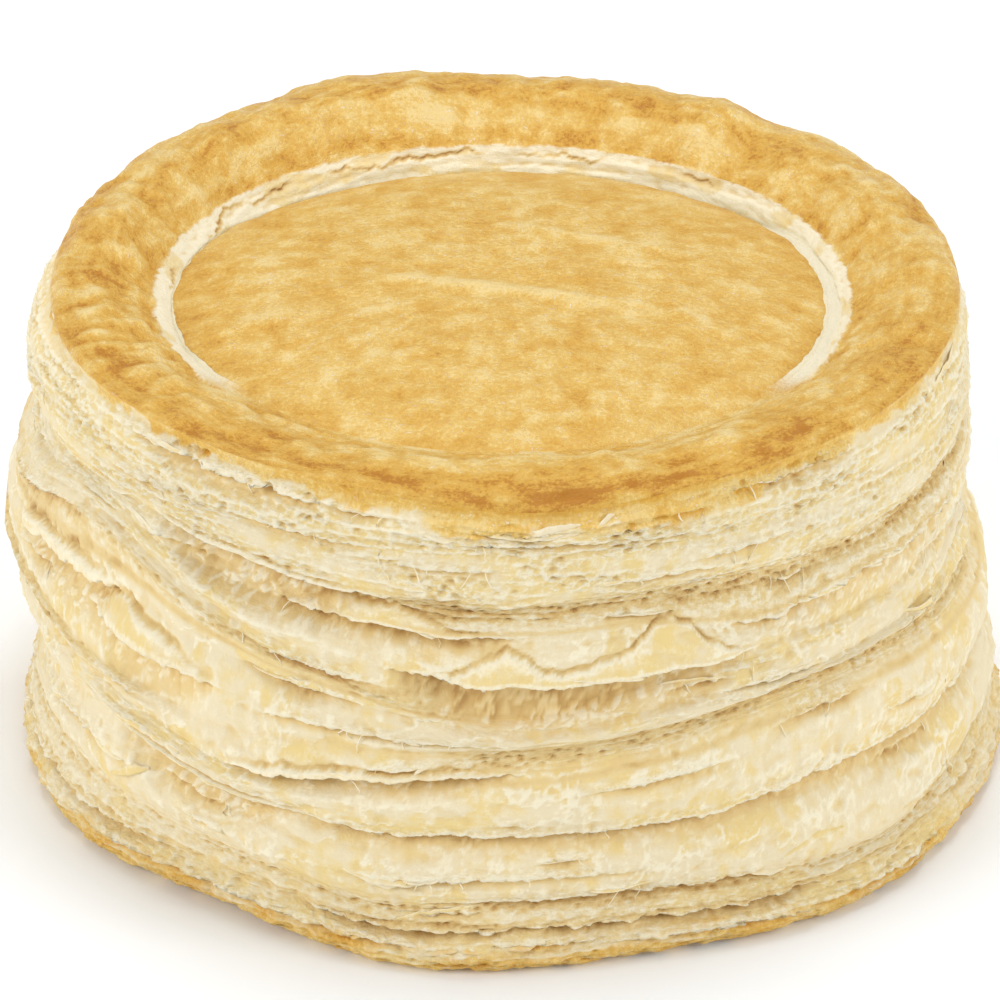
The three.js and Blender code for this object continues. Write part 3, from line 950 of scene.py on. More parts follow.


# pale dough: cream with butter-yellow patches, whitish where it is torn, honey to brown painted shade in the
# hollows
def makePaleGroup():
    c, p = doughColours, paleTone
    marks = [("Yellow", "NodeSocketFloat", 0.3)]
    marks += [(name, "NodeSocketFloat", 0.0) for name in ("White", "Painted_shade", "Rough")]
    t, given, out = newGroup("pale dough", grainSockets + marks, [("Color", "NodeSocketColor")])
    g = given.outputs
    torn = mathNode(t, "MULTIPLY", mathNode(t, "SUBTRACT", g["Flakes"], 0.5), g["Rough"])
    yellow = swing(t, g["Mottle"], p["yellowByMottle"], g["Yellow"])
    yellow = swing(t, g["Lines"], p["yellowByLines"], yellow)
    colour = mixColour(t, remap(t, yellow, *p["butter"]), c["cream"], c["butter"])
    white = swing(t, g["Fine"], p["whiteByFine"], g["White"], p["fineMiddle"])
    white = mathNode(t, "MULTIPLY_ADD", torn, p["whiteByTorn"], white)
    colour = mixColour(t, remap(t, white, *p["pale"]), colour, c["pale"])
    # the painted shade, made uneven by the mottle and the torn grain
    uneven = mathNode(t, "MULTIPLY_ADD", g["Mottle"], *p["shadeByMottle"])
    painted_shade = mathNode(t, "MULTIPLY", g["Painted_shade"], uneven)
    painted_shade = mathNode(t, "MULTIPLY_ADD", torn, p["shadeByTorn"], painted_shade)
    for name in ("honeyShade", "tanShade", "brownShade"):
        colour = mixColour(t, remap(t, painted_shade, *p[name]), colour, c[name])
    wire(t, colour, out.inputs["Color"])
    return t


# egg-washed crust: gold, browner where it baked harder, with small pale flecks painted in as glints
def makeCrustGroup():
    c, k = doughColours, crustTone
    sockets = grainSockets + [("Toast", "NodeSocketFloat", 0.5)]
    t, given, out = newGroup("egg washed crust", sockets, [("Color", "NodeSocketColor")])
    g = given.outputs
    tone = g["Toast"]
    for name, amount in k["byGrain"].items():
        tone = swing(t, g[name], amount, tone)
    colour = mixColour(t, remap(t, tone, *k["gold"]), c["lightGold"], c["gold"])
    colour = mixColour(t, remap(t, tone, *k["toasted"]), colour, c["toasted"])
    light = mathNode(t, "MULTIPLY", remap(t, tone, *k["glaze"]), k["glazeMost"])
    colour = mixColour(t, light, colour, c["glaze"])
    # small pale flecks painted where glints of light would catch the glaze
    byFine = remap(t, g["Fine"], *k["glintsByFine"])
    paintedGlints = mathNode(t, "MULTIPLY", byFine, remap(t, g["Flakes"], *k["glintsByFlakes"]))
    paintedGlints = mathNode(t, "MULTIPLY", paintedGlints, remap(t, tone, *k["glintsByTone"]))
    colour = mixColour(t, paintedGlints, colour, c["pale"])
    wire(t, colour, out.inputs["Color"])
    return t


grainGroup = makeGrainGroup()
paleGroup = makePaleGroup()
crustGroup = makeCrustGroup()

finish = {
    "flaky side": {"roughness": 0.62, "shine": 0.1, "bump": 0.0003, "specular": 0.25},
    "golden crust": {"roughness": 0.48, "shine": 0.2, "bump": 0.00042, "specular": 0.36},
    "torn skin": {"roughness": 0.55, "shine": 0.1, "bump": 0.00012, "specular": 0.3},
}
pastrySurface = {
    "crustEdge": (0.1, 0.9),      # share of baking over which pale dough turns to crust
    "edgeByFine": 0.5,
    "bumpStrength": 0.7,
    "bumpByBake": (0.5, 0.5),
    "bumpByFlakes": 1.6,
    "bumpByLines": 0.3,
}


def makePastry(name):
    f, s = finish[name], pastrySurface
    material = bpy.data.materials.new(name)
    material.use_nodes = True
    t = material.node_tree
    shader = t.nodes["Principled BSDF"]

    def mark(label, output="Fac"):
        node = t.nodes.new("ShaderNodeAttribute")
        node.attribute_name = label
        return node.outputs[output]

    def place(group, **given):
        node = t.nodes.new("ShaderNodeGroup")
        node.node_tree = group
        for label, value in given.items():
            wire(t, value, node.inputs[label])
        return node.outputs

    grain = place(grainGroup, Space=mark("layerSpace", "Vector"))
    shared = {label: grain[label] for label in grainNoises}
    rough = mark("rough")
    marks = {label: mark(label.lower()) for label in ("Yellow", "White", "Painted_shade")}
    pale = place(paleGroup, Rough=rough, **marks, **shared)
    crust = place(crustGroup, Toast=mark("toast"), **shared)
    baked = mark("bake")
    edge = remap(t, swing(t, grain["Fine"], s["edgeByFine"], baked), *s["crustEdge"])
    wire(t, mixColour(t, edge, pale["Color"], crust["Color"]), shader.inputs["Base Color"])
    gloss = mathNode(t, "MULTIPLY", baked, grain["Mottle"])
    wire(t, mathNode(t, "MULTIPLY_ADD", gloss, -f["shine"], f["roughness"]), shader.inputs["Roughness"])
    bump = t.nodes.new("ShaderNodeBump")
    bump.inputs["Strength"].default_value = s["bumpStrength"]
    bump.inputs["Distance"].default_value = f["bump"]
    height = mathNode(t, "MULTIPLY", grain["Fine"], mathNode(t, "MULTIPLY_ADD", baked, *s["bumpByBake"]))
    flaky = mathNode(t, "MULTIPLY", grain["Flakes"], rough)
    height = mathNode(t, "MULTIPLY_ADD", flaky, s["bumpByFlakes"], height)
    wire(t, mathNode(t, "MULTIPLY_ADD", grain["Lines"], s["bumpByLines"], height), bump.inputs["Height"])
    wire(t, bump.outputs["Normal"], shader.inputs["Normal"])
    shader.inputs["Specular IOR Level"].default_value = f["specular"]
    return material


materials = {name: makePastry(name) for name in finish}
print("materials ready")

sideMesh = {
    "frontColumns": 640,      # the side that is looked at most is finer
    "backColumns": 250,
    "frontTo": 97.0,
    # name of each piece of the side, the level it starts at, and its rows
    "pieces": [("flakes_low", 0.0, 88), ("flakes_waist", 12.0, 86), ("flakes_middle", 23.4, 88),
               ("flakes_high", 34.4, 92)],
    "lipRows": 1.6,           # rows stand closer at the lips, by this much
    "lipSpread": 0.7,
}


def sideTurns():
    s = sideMesh
    front = np.linspace(-s["frontTo"], s["frontTo"], s["frontColumns"], endpoint=False)
    back = np.linspace(s["frontTo"], 360 - s["frontTo"], s["backColumns"], endpoint=False)
    return np.concatenate([front, turnGap(back, 0)])


def sideRows():
    s = sideMesh
    lipLevels = sorted({layers[layer][0] - down for layer, down, *rest in splits})
    starts = [start for name, start, rows in s["pieces"]] + [drum["crustLevel"]]
    rowLevels = []
    for n, (name, start, rows) in enumerate(s["pieces"]):
        at = np.linspace(start, starts[n + 1], 2000)
        density = 1 + s["lipRows"] * sum(hill(at - lip, s["lipSpread"]) for lip in lipLevels)
        filled = np.concatenate([[0.0], np.cumsum((density[1:] + density[:-1]) / 2)])
        rowLevels.append(np.interp(np.arange(rows) / rows, filled / filled[-1], at))
    return np.concatenate([*rowLevels, [drum["crustLevel"]]])


def placeOnDrum(turn, radius, height, forward=0.0):
    a = np.radians(turn)
    shift = drum["middleShift"] * np.sin(math.pi * np.minimum(height / drum["crustLevel"], 1.0))
    x, y, z = np.broadcast_arrays(radius * np.sin(a) + shift, -radius * np.cos(a) - forward, height + 0 * a)
    return np.stack([x, y, z], axis=-1)


def layerSpaceOf(turn, up, radius=drum["roundRadius"]):
    a = np.radians(turn)
    x, y, z = np.broadcast_arrays(radius * np.sin(a), -radius * np.cos(a), up + 0 * a)
    return np.stack([x, y, z], axis=-1)


turns = sideTurns()[:, None]
levelRow = sideRows()[None, :]

crustEdge = {
    "level": 44.3,
    "drips": [(0.9, 6, 4, 20), (0.6, 1.9, 1.4, 21), (0.25, 0.8, 0.7, 55)],
    "soft": 0.3,
    "softer": [(12, 36, 0.9)],     # towards the front: (turn, spread, how much)
    "lower": [(12, 34, 1.3)],
}
sideFinish = {
    "fringesSag": 0.4,
    "sagAbove": 1.0,
    "lowest": 0.05,
    # half windows that a point is set against, round and up, and how white it is once it stands out,
    # or how dark a painted shade it takes once it lies back, so many millimetres
    "near": (3, 4),
    "far": (9, 14),
    "white": (0.6, 0.25),
    "painted_shade": (0.45, 0.35),
    "shadeFar": (0.18, 1.0),
    # the browned foot and the toasted edge under the crust
    "footEdge": (0.9, 3.6),
    "footWander": [(1.6, 6, 0.9, 22)],
    "footBake": 0.8,
    "bakeByLayers": 0.35,
    "layersAbove": 0.8,
    "toast": 0.12,
    "toastPatches": [(0.3, 6, 2.5, 23)],
    "toastUnderCrust": 0.35,
    "toastAtFoot": 0.12,
    # the crust's colour darkens with the painted shade too
    "toastInShade": 0.6,
    "toastByLayers": 0.4,
}
underside = {
    "rings": [0.955, 0.8, 0.5, 0.2],
    "marks": {"bake": 0.7, "toast": 0.45, "yellow": 0.4},
    "otherMarks": 0.1,
}


# how far the dough is crust near the crust's edge, and how softly the crust runs out there
def crustShare(turn, level):
    c = crustEdge
    drips = layered(turn, level, c["drips"])
    soft = c["soft"] + sumOfHills(turn, c["softer"])
    above = level - c["level"] + sumOfHills(turn, c["lower"])
    return smooth(-soft, 0.45, above + drips * (0.8 + 0.6 * soft)), soft


# finishes the marks of the side from the relief that it ended up with
def finishSideMarks(marks, radius):
    s = sideFinish
    detail = radius - blurred(radius, *s["near"])
    farDetail = radius - blurred(radius, *s["far"])
    whitest, standsOut = s["white"]
    marks["white"] = np.clip(marks["white"] + whitest * np.clip(detail / standsOut, 0, 1), 0, 1)
    # painted shade where the surface lies back from what is round it, near and far
    darkestShade, liesBack = s["painted_shade"]
    darkestShadeFar, liesBackFar = s["shadeFar"]
    shade = darkestShade * np.clip(-detail / liesBack, 0, 1) + darkestShadeFar * np.clip(-farDetail / liesBackFar, 0, 1)
    marks["painted_shade"] = np.clip(marks["painted_shade"] + shade, 0, 1)
    crust, soft = crustShare(turns, levelRow)
    foot = 1 - smooth(*s["footEdge"], levelRow + layered(turns, levelRow, s["footWander"]))
    layer = marks.pop("thin")
    footBake = s["footBake"] * foot - s["bakeByLayers"] * layer * (levelRow > s["layersAbove"])
    marks["bake"] = np.maximum(crust, np.clip(footBake, 0, 1))
    toast = s["toast"] + layered(turns, levelRow, s["toastPatches"]) + s["toastAtFoot"] * foot
    toast = toast + s["toastUnderCrust"] * smooth(44, 45, levelRow) * soft
    marks["toast"] = toast + s["toastInShade"] * marks["painted_shade"] - s["toastByLayers"] * layer * foot
    return {key: np.broadcast_to(value, radius.shape) for key, value in marks.items()}


def makeSide():
    s = sideFinish
    broad = broadSide(turns, levelRow)
    fine, marks = fineSide(turns, levelRow, broad)
    radius = broad["radius"] + fine
    sag = s["fringesSag"] * np.clip(fine, 0, 1) * (levelRow > s["sagAbove"])
    height = np.maximum(heightOf(turns, levelRow) + broad["rise"] - sag, s["lowest"])
    marks = finishSideMarks(marks, radius)
    points = placeOnDrum(turns, radius, height)
    space = layerSpaceOf(turns, levelRow)
    normals = gridNormals(points)
    start = 0
    for name, fromLevel, rows in sideMesh["pieces"]:
        part = slice(start, start + rows + 1)
        p = points[:, part].reshape(-1, 3)
        faces = gridFaces(len(turns), rows + 1, True).tolist()
        m = {key: value[:, part].ravel() for key, value in marks.items()}
        m["layerSpace"] = space[:, part].reshape(-1, 3)
        n = normals[:, part].reshape(-1, 3)
        if start == 0:
            p, m, n = addUnderside(p, faces, m, n, len(turns), rows + 1)
        addPiece(makeMesh(name, p, faces, m, n), materials["flaky side"])
        start += rows
    return radius, height


# the flat underside: rings from the foot's edge in to the middle
def addUnderside(points, faces, marks, normals, columns, rows):
    edge = points.reshape(columns, rows, 3)[:, 0]
    rings = np.stack([edge * share for share in underside["rings"]], axis=1)
    rings[..., 2] = 0.0
    k = len(underside["rings"])
    first = columns * rows
    middle = first + columns * k
    for c in range(columns):
        d = (c + 1) % columns
        a, b = first + c * k, first + d * k
        faces.append((c * rows, a, b, d * rows))
        faces.extend((a + n, a + n + 1, b + n + 1, b + n) for n in range(k - 1))
        faces.append((a + k - 1, middle, b + k - 1))
    added = np.concatenate([rings.reshape(-1, 3), np.zeros((1, 3))])
    normals = np.concatenate([normals, np.tile([0.0, 0.0, -1.0], (len(added), 1))])

    def markOfUnderside(key):
        if key == "layerSpace":
            return added
        return np.full(len(added), underside["marks"].get(key, underside["otherMarks"]))

    marks = {key: np.concatenate([value, markOfUnderside(key)]) for key, value in marks.items()}
    return np.concatenate([points, added]), marks, normals


sideRadius, sideHeight = makeSide()

# The rim, the groove and the lid. "across" is the way along the surface from the crust's edge over
# the roll and down into the groove.

rim = {
    "crestRadius": 36.6,
    "crestRise": 2.1,
    "crestLean": 1.0,
    "crestForward": 0.7,
    "lipRadius": 31.4,
    "lipRise": 0.1,
    "lipRoundness": 1.7,
    "crestHills": [(-150, 36, 0.9), (139, 5, -0.7), (124, 4, -0.3), (-35, 9, -0.3)],
    "crestWaves": [(3, 0.8, 0.3), (7, 2.1, 0.2), (13, 0.0, 0.15)],
    "lipSwells": [(-135, 30, 0.8), (-90, 20, 0.4), (90, 30, -0.3)],
    "lipTorn": [(0.25, 3.2, 1.0, 31), (0.15, 1.0, 2.0, 32)],
    "columns": 560,
    "rows": (32, 28, 24, 6),    # over the roll, down to the lip, down the wall, along the floor
    "lumps": 0.34,
    "lumpNoise": [(1.0, 7.0, 5.0, 33), (0.5, 3.0, 2.4, 34)],
    "wrinkles": 0.2,
    "wrinkleNoise": [(1.0, 1.6, 7.0, 35)],
    "wrinkleBend": 1.5,         # lumps bend the wrinkles
    "wrinkled": (-85, 50),      # turn and spread of the part that has most of them
    "lessWrinkled": 0.4,
    "knobs": 0.17,
    "knobNoise": [(1.0, 3.2, 2.0, 70), (0.6, 1.5, 1.1, 71)],
    "bubbles": 0.08,
    "bubbleCells": (1.3, 1.3, 36),
    "bubbleShare": 0.3,
    "sunk": 0.16,
    "reliefFrom": (0.0, 1.2),
}
rimColour = {
    "torn": 0.3,                # how far the torn lip moves the edge of the crust
    "edge": (-0.3, 0.25),
    "edgeNoise": [(0.15, 0.8, 0.5, 38)],
    "streaks": [(1.0, 7, 0.8, 40)],
    "streakBend": 0.8,
    "fineStreaks": [(0.6, 2.2, 0.5, 46)],
    # toasted patches: (turn, spread, across, spread across)
    "front": (8, 66, 1.6, 2.2),
    "frontBlotches": [(0.6, 5, 2.5, 47)],
    "frontToast": 0.66,
    "notch": (-35, 5, 6, 2.5),
    "notchToast": 0.6,
    "right": (62, 16, 3, 4),
    "left": (-82, 30, 4, 4),
    "sideToast": 0.2,
    "behind": (180, 75),
    "behindStripe": (7.2, 1.5, 0.34),      # across, half width, toast
    "behindPale": (10, 1.2, 0.16),
    "behindToast": 0.05,
    "lipToast": (0.9, 1.0, 0.35),
    "lipBlotches": [(1.0, 1.6, 1, 48)],
    "toast": 0.28,
    "patches": [(0.3, 9, 3.5, 39)],
    "byStreaks": 0.1,
    "byLumps": 0.16,
    "byKnobs": 0.28,
}
groove = {
    "forward": 2.4,             # the lid was scored this far forward of the middle
    "floorRadius": 30.2,
    "underLid": 0.6,            # its floor runs on this far inside the lid's edge
    "depth": 3.2,
    "sideDepth": 1.0,           # it is shallow at the sides, deep at the back
    "shadeFrom": 108.0,
    "shadeTo": 150.0,
    "closedDepth": 0.7,
    "closedTo": 46.0,
    "openFrom": 68.0,
    "wallNoise": [(0.26, 9, 1.1, 37), (0.12, 2, 0.5, 45)],
    # torn layers in its wall: (depth, stands out)
    "ledges": ((0.6, 0.25), (1.5, 0.3), (2.4, 0.25)),
    "ledgeWander": [(0.45, 8, 1, 90), (0.15, 1.6, 1, 95)],
    "ledgeShows": [(1.0, 14, 1, 98)],
    "ledgeHills": [(-140, 40, 0.35)],
    "ledgeEdge": 0.12,
    # a crack along the wall, and smooth yellow panels beside it
    "crackDepth": 0.65,
    "crackHalf": 0.13,
    "crackOpens": 0.15,
    "crackWander": [(0.5, 6, 3, 110), (0.3, 1.3, 5, 111)],
    "crackShows": [(1.0, 9, 7, 112)],
    "crackHills": [(-155, 50, 0.8)],
    "panels": [(1.0, 7, 1.6, 113)],
    "panelHills": [(-150, 45, 0.12)],
    "hollowWindow": (2, 3),
    "fullHollow": 0.12,
    "wallEnds": (0.7, 1.0),     # the share of the way down over which its relief ends
}
grooveColour = {
    "yellow": 0.1,
    "yellowBelow": (1.2, 3.0, 0.2),      # from this depth to that, and how much
    "yellowPanels": 0.45,
    # painted shade: low in the groove, in the hollows of its wall and in its crack; the hollows also lose
    # white to it
    "shadeBelow": (2.2, 3.2, 0.2),
    "shadeInHollows": 0.35,
    "shadeInCrack": 0.9,
    "whiteLostToShade": 0.4,
    "whitePanels": 0.8,
    "rough": 0.2,
}
lid = {
    "footRadius": 29.2,
    "closedFootRadius": 30.1,
    "footSunk": 0.2,
    "shoulderRadius": 28.8,
    "shoulderSwells": [(-96, 42, 1.3)],
    "shoulderTorn": [(0.3, 5, 1, 50), (0.12, 1.2, 2, 51)],
    "shoulderRise": -1.3,
    "sideShoulderRise": -0.6,
    "closedShoulderRise": -0.4,
    "crownRise": 2.3,
    "roundness": 3.0,
    "columns": 420,
    "wallRows": 12,
    "domeRows": 56,
    "middle": 0.004,            # the dome's rows end at this share of its radius
    # noises over the lid take x times this for a turn, and y for a level
    "noiseSpread": 4.2,
    "lumps": 0.2,
    "lumpNoise": [(1.0, 12.0, 6.0, 41), (0.4, 5.0, 2.5, 42)],
    "knobs": 0.1,
    "knobNoise": [(1.0, 13, 2.4, 72), (0.6, 6, 1.2, 73)],
    "reliefWithin": (30, 26),
    # faint ridges across the top, from (x, y) to (x, y)
    "folds": (((-16.0, -1.0), (19.0, -10.0)), ((-3.0, 8.4), (17.0, 2.5))),
    "foldHeight": 0.26,
    "foldHalf": 0.8,
    "foldWander": 0.7,
    "toast": 0.32,
    "patches": [(0.2, 16, 7, 43), (0.15, 5, 2.5, 44)],
    "ringNoise": [(0.1, 2.5, 9, 49)],
    "edgeFrom": (26.5, 28.8),
    "edgeToast": 0.2,
    "foldToast": 0.4,
    "knobToast": 0.2,
}


# 0 in front, where rim and lid are joined, and 1 where the groove is open
def opening(turn):
    return smooth(groove["closedTo"], groove["openFrom"], np.abs(turnGap(turn, 0)))


def atBack(turn):
    return smooth(groove["shadeFrom"], groove["shadeTo"], np.abs(turnGap(turn, 0)))


def grooveDepth(turn):
    depth = between(groove["sideDepth"], groove["depth"], atBack(turn))
    return between(groove["closedDepth"], depth, opening(turn))


def topBase(turn):
    return drum["crustLevel"] + drum["topLean"] * np.cos(np.radians(turn))


def crestRise(turn):
    a = np.radians(turn)
    uneven = sum(rise * np.sin(waves * a + shift) for waves, shift, rise in rim["crestWaves"])
    return rim["crestRise"] - rim["crestLean"] * np.cos(a) + uneven + sumOfHills(turn, rim["crestHills"])


# the smooth form of the rim, row by row
def rimProfile(turn, ragged):
    base = topBase(turn)
    edgeLevel = np.array([[drum["crustLevel"]]])
    edgeRadius = broadSide(turn, edgeLevel)["radius"]
    edgeHeight = heightOf(turn, edgeLevel)
    crest = base + crestRise(turn)
    lipHeight = base + rim["lipRise"]
    lipRadius = rim["lipRadius"] + sumOfHills(turn, rim["lipSwells"]) + ragged * opening(turn)
    floorHeight = lipHeight - grooveDepth(turn)
    *openRows, floorRows = rim["rows"]
    roll, slope, wall = (np.linspace(0, 1, rows, endpoint=False)[None, :] for rows in openRows)
    floor = np.linspace(0, 1, floorRows)[None, :]
    out = np.cos(roll * math.pi / 2)
    floorRadius = groove["floorRadius"]
    radius = [between(rim["crestRadius"], edgeRadius, out),
              between(rim["crestRadius"], lipRadius, slope),
              between(lipRadius, floorRadius, wall ** 0.8),
              between(floorRadius + 0 * turn, lid["shoulderRadius"] - groove["underLid"], floor)]
    height = [between(edgeHeight, crest, np.sqrt(1 - out * out)),
              between(crest, lipHeight, slope ** rim["lipRoundness"]),
              between(lipHeight, floorHeight, wall),
              floorHeight + 0 * floor]
    forward = [rim["crestForward"] * (1 - out) + 0 * turn,
               between(rim["crestForward"], groove["forward"], slope) + 0 * turn,
               groove["forward"] + 0 * wall + 0 * turn,
               groove["forward"] + 0 * floor + 0 * turn]
    radius, height, forward = (np.concatenate(part, axis=1) for part in (radius, height, forward))
    return radius, height, forward, lipHeight - height


# the wall of the groove: how far it stands out, its crack and its smooth panels
def grooveWall(turn, depth, wallPart):
    g = groove
    standsOut = layered(turn, depth, g["wallNoise"])
    for n, (at, out) in enumerate(g["ledges"]):
        line = at + layered(turn, at, g["ledgeWander"], n)
        shows = layered(turn, at, g["ledgeShows"], n) + sumOfHills(turn, g["ledgeHills"])
        ledge = smooth(line - g["ledgeEdge"], line + g["ledgeEdge"], depth)
        standsOut = standsOut + out * smooth(-0.25, 0.3, shows) * ledge
    crackLine = g["crackDepth"] + lineNoise(turn, 1, g["crackWander"])
    cracked = lineNoise(turn, 1, g["crackShows"]) - 0.35 + sumOfHills(turn, g["crackHills"])
    crack = hill(depth - crackLine, g["crackHalf"]) * smooth(0.0, 0.4, cracked) * wallPart
    panels = layered(turn, depth, g["panels"]) + sumOfHills(turn, g["panelHills"])
    panels = smooth(0.1, 0.4, panels) * wallPart
    return standsOut - g["crackOpens"] * crack, crack, panels


def rimToast(turn, across, edgeLine, lumps, wrinkles, knobs):
    c = rimColour
    streaks = layered(turn, across + c["streakBend"] * lumps, c["streaks"])
    streaks = streaks + layered(turn, across, c["fineStreaks"])
    front = patch(turn, across, *c["front"]) * (1 + layered(turn, across, c["frontBlotches"]))
    toast = c["toast"] + c["frontToast"] * front * (1 + 0.3 * streaks) + layered(turn, across, c["patches"])
    toast = toast + c["byStreaks"] * streaks - c["byLumps"] * lumps - c["byKnobs"] * knobs
    toast = toast + c["notchToast"] * patch(turn, across, *c["notch"])
    toast = toast + c["sideToast"] * patch(turn, across, *c["left"]) * (1 - 3.5 * wrinkles)
    toast = toast + c["sideToast"] * patch(turn, across, *c["right"])
    stripeAt, stripeHalf, stripe = c["behindStripe"]
    paleAt, paleHalf, pale = c["behindPale"]
    behind = stripe * hill(across - stripeAt, stripeHalf) * (1 + 1.2 * streaks)
    behind = behind + c["behindToast"] - pale * hill(across - paleAt, paleHalf)
    turnBehind, spreadBehind = c["behind"]
    toast = toast + hill(turnGap(turn, turnBehind), spreadBehind) * behind
    inside, lipHalf, lip = c["lipToast"]
    blotches = 0.6 + layered(turn, across, c["lipBlotches"])
    return toast + lip * hill(edgeLine + inside, lipHalf) * blotches * opening(turn)


def makeRim():
    turn = np.linspace(-180, 180, rim["columns"], endpoint=False)[:, None]
    ragged = lineNoise(turn, 1, rim["lipTorn"])
    radius, height, forward, depth = rimProfile(turn, ragged)
    across = np.cumsum(np.hypot(np.diff(radius, axis=1, prepend=radius[:, :1]),
                                np.diff(height, axis=1, prepend=height[:, :1])), axis=1)
    rollRows, slopeRows, wallRows, floorRows = rim["rows"]
    lipRow = rollRows + slopeRows
    rows = radius.shape[1]
    crustPart = (np.arange(rows) < lipRow)[None, :] * 1.0
    wallPart = np.zeros((1, rows))
    downWall = np.linspace(0, 1, wallRows, endpoint=False)
    wallPart[:, lipRow:lipRow + wallRows] = 1 - smooth(*groove["wallEnds"], downWall)
    lumps = layered(turn, across, rim["lumpNoise"])
    wrinkles = layered(turn + rim["wrinkleBend"] * lumps, across, rim["wrinkleNoise"])
    wrinkledTurn, wrinkledSpread = rim["wrinkled"]
    wrinkled = hill(turnGap(turn, wrinkledTurn), wrinkledSpread)
    wrinkles = wrinkles * between(rim["lessWrinkled"], 1.0, wrinkled)
    knobs = layered(turn, across, rim["knobNoise"])
    near, _, own = cells(turn, across, *rim["bubbleCells"])
    bubbles = np.clip(1 - near / 0.5, 0, 1) ** 0.5 * (own < rim["bubbleShare"])
    relief = rim["lumps"] * lumps + rim["wrinkles"] * wrinkles + rim["knobs"] * knobs
    relief = relief + rim["bubbles"] * bubbles - rim["sunk"]
    relief = relief * smooth(*rim["reliefFrom"], across) * crustPart
    points = placeOnDrum(turn, radius, height, forward)
    points = points + gridNormals(points) * relief[..., None]
    standsOut, crack, panels = grooveWall(turn, depth, wallPart)
    a = np.radians(turn) + 0 * radius
    outwards = np.stack([np.sin(a), -np.cos(a)], axis=-1)
    points[..., :2] -= outwards * (standsOut * wallPart * opening(turn))[..., None]
    edgeLine = across - across[:, lipRow:lipRow + 1] + rimColour["torn"] * ragged
    bake = 1 - smooth(*rimColour["edge"], edgeLine + layered(turn, across, rimColour["edgeNoise"]))
    bake = np.maximum(bake, 1 - opening(turn)) * crustShare(turn, drum["crustLevel"] + across)[0]
    hollows = standsOut - blurred(standsOut, *groove["hollowWindow"])
    hollows = np.clip(-hollows / groove["fullHollow"], 0, 1) * wallPart
    c = grooveColour
    yellowFrom, yellowTo, yellow = c["yellowBelow"]
    shadeFrom, shadeTo, painted_shade = c["shadeBelow"]
    # painted shade low in the groove, in its wall's hollows and in its crack
    shade = painted_shade * smooth(shadeFrom, shadeTo, depth) + c["shadeInHollows"] * hollows + c["shadeInCrack"] * crack
    marks = {
        "yellow": c["yellow"] + yellow * smooth(yellowFrom, yellowTo, depth) + c["yellowPanels"] * panels,
        "painted_shade": shade * (1 - crustPart),
        "white": 1.0 - c["whiteLostToShade"] * hollows - c["whitePanels"] * panels,
        "rough": c["rough"] * (1 - crustPart),
        "bake": bake,
        "toast": rimToast(turn, across, edgeLine, lumps, wrinkles, knobs),
    }
    marks = {key: np.broadcast_to(value, radius.shape).ravel() for key, value in marks.items()}
    spaceRadius = drum["roundRadius"] - 0.8 * np.minimum(across, 14)
    space = layerSpaceOf(turn, drum["crustLevel"] + across, spaceRadius)
    marks["layerSpace"] = space.reshape(-1, 3)
    faces = gridFaces(len(turn), rows, True).tolist()
    normals = gridNormals(points).reshape(-1, 3)
    addPiece(makeMesh("rim", points.reshape(-1, 3), faces, marks, normals), materials["golden crust"])


# the smooth form of the lid, row by row up its edge and in to its middle
def lidProfile(turn):
    opened = opening(turn)
    base = topBase(turn)
    floorHeight = base + rim["lipRise"] - grooveDepth(turn)
    openShoulder = between(lid["sideShoulderRise"], lid["shoulderRise"], atBack(turn))
    shoulder = base + between(lid["closedShoulderRise"], openShoulder, opened)
    swell = sumOfHills(turn, lid["shoulderSwells"])
    foot = between(lid["closedFootRadius"], lid["footRadius"] + swell, opened)
    shoulderRadius = lid["shoulderRadius"] + opened * (swell + lineNoise(turn, 1, lid["shoulderTorn"]))
    crown = drum["crustLevel"] + lid["crownRise"]
    wall = np.linspace(0, 1, lid["wallRows"], endpoint=False)[None, :]
    dome = np.linspace(1, lid["middle"], lid["domeRows"])[None, :]
    radius = [between(foot, shoulderRadius, wall), shoulderRadius * dome]
    height = [between(floorHeight - lid["footSunk"], shoulder, wall ** 0.8),
              between(crown, shoulder, dome ** lid["roundness"])]
    return np.concatenate(radius, axis=1), np.concatenate(height, axis=1)


def lidFolds(x, y, lumps):
    folds = np.zeros(x.shape)
    for (fromX, fromY), (toX, toY) in lid["folds"]:
        runX, runY = toX - fromX, toY - fromY
        along = np.clip(((x - fromX) * runX + (y - fromY) * runY) / (runX ** 2 + runY ** 2), 0, 1)
        gap = np.hypot(x - fromX - along * runX, y - fromY - along * runY)
        ridge = hill(gap + lid["foldWander"] * lumps, lid["foldHalf"])
        folds = np.maximum(folds, ridge * np.sin(math.pi * along))
    return folds


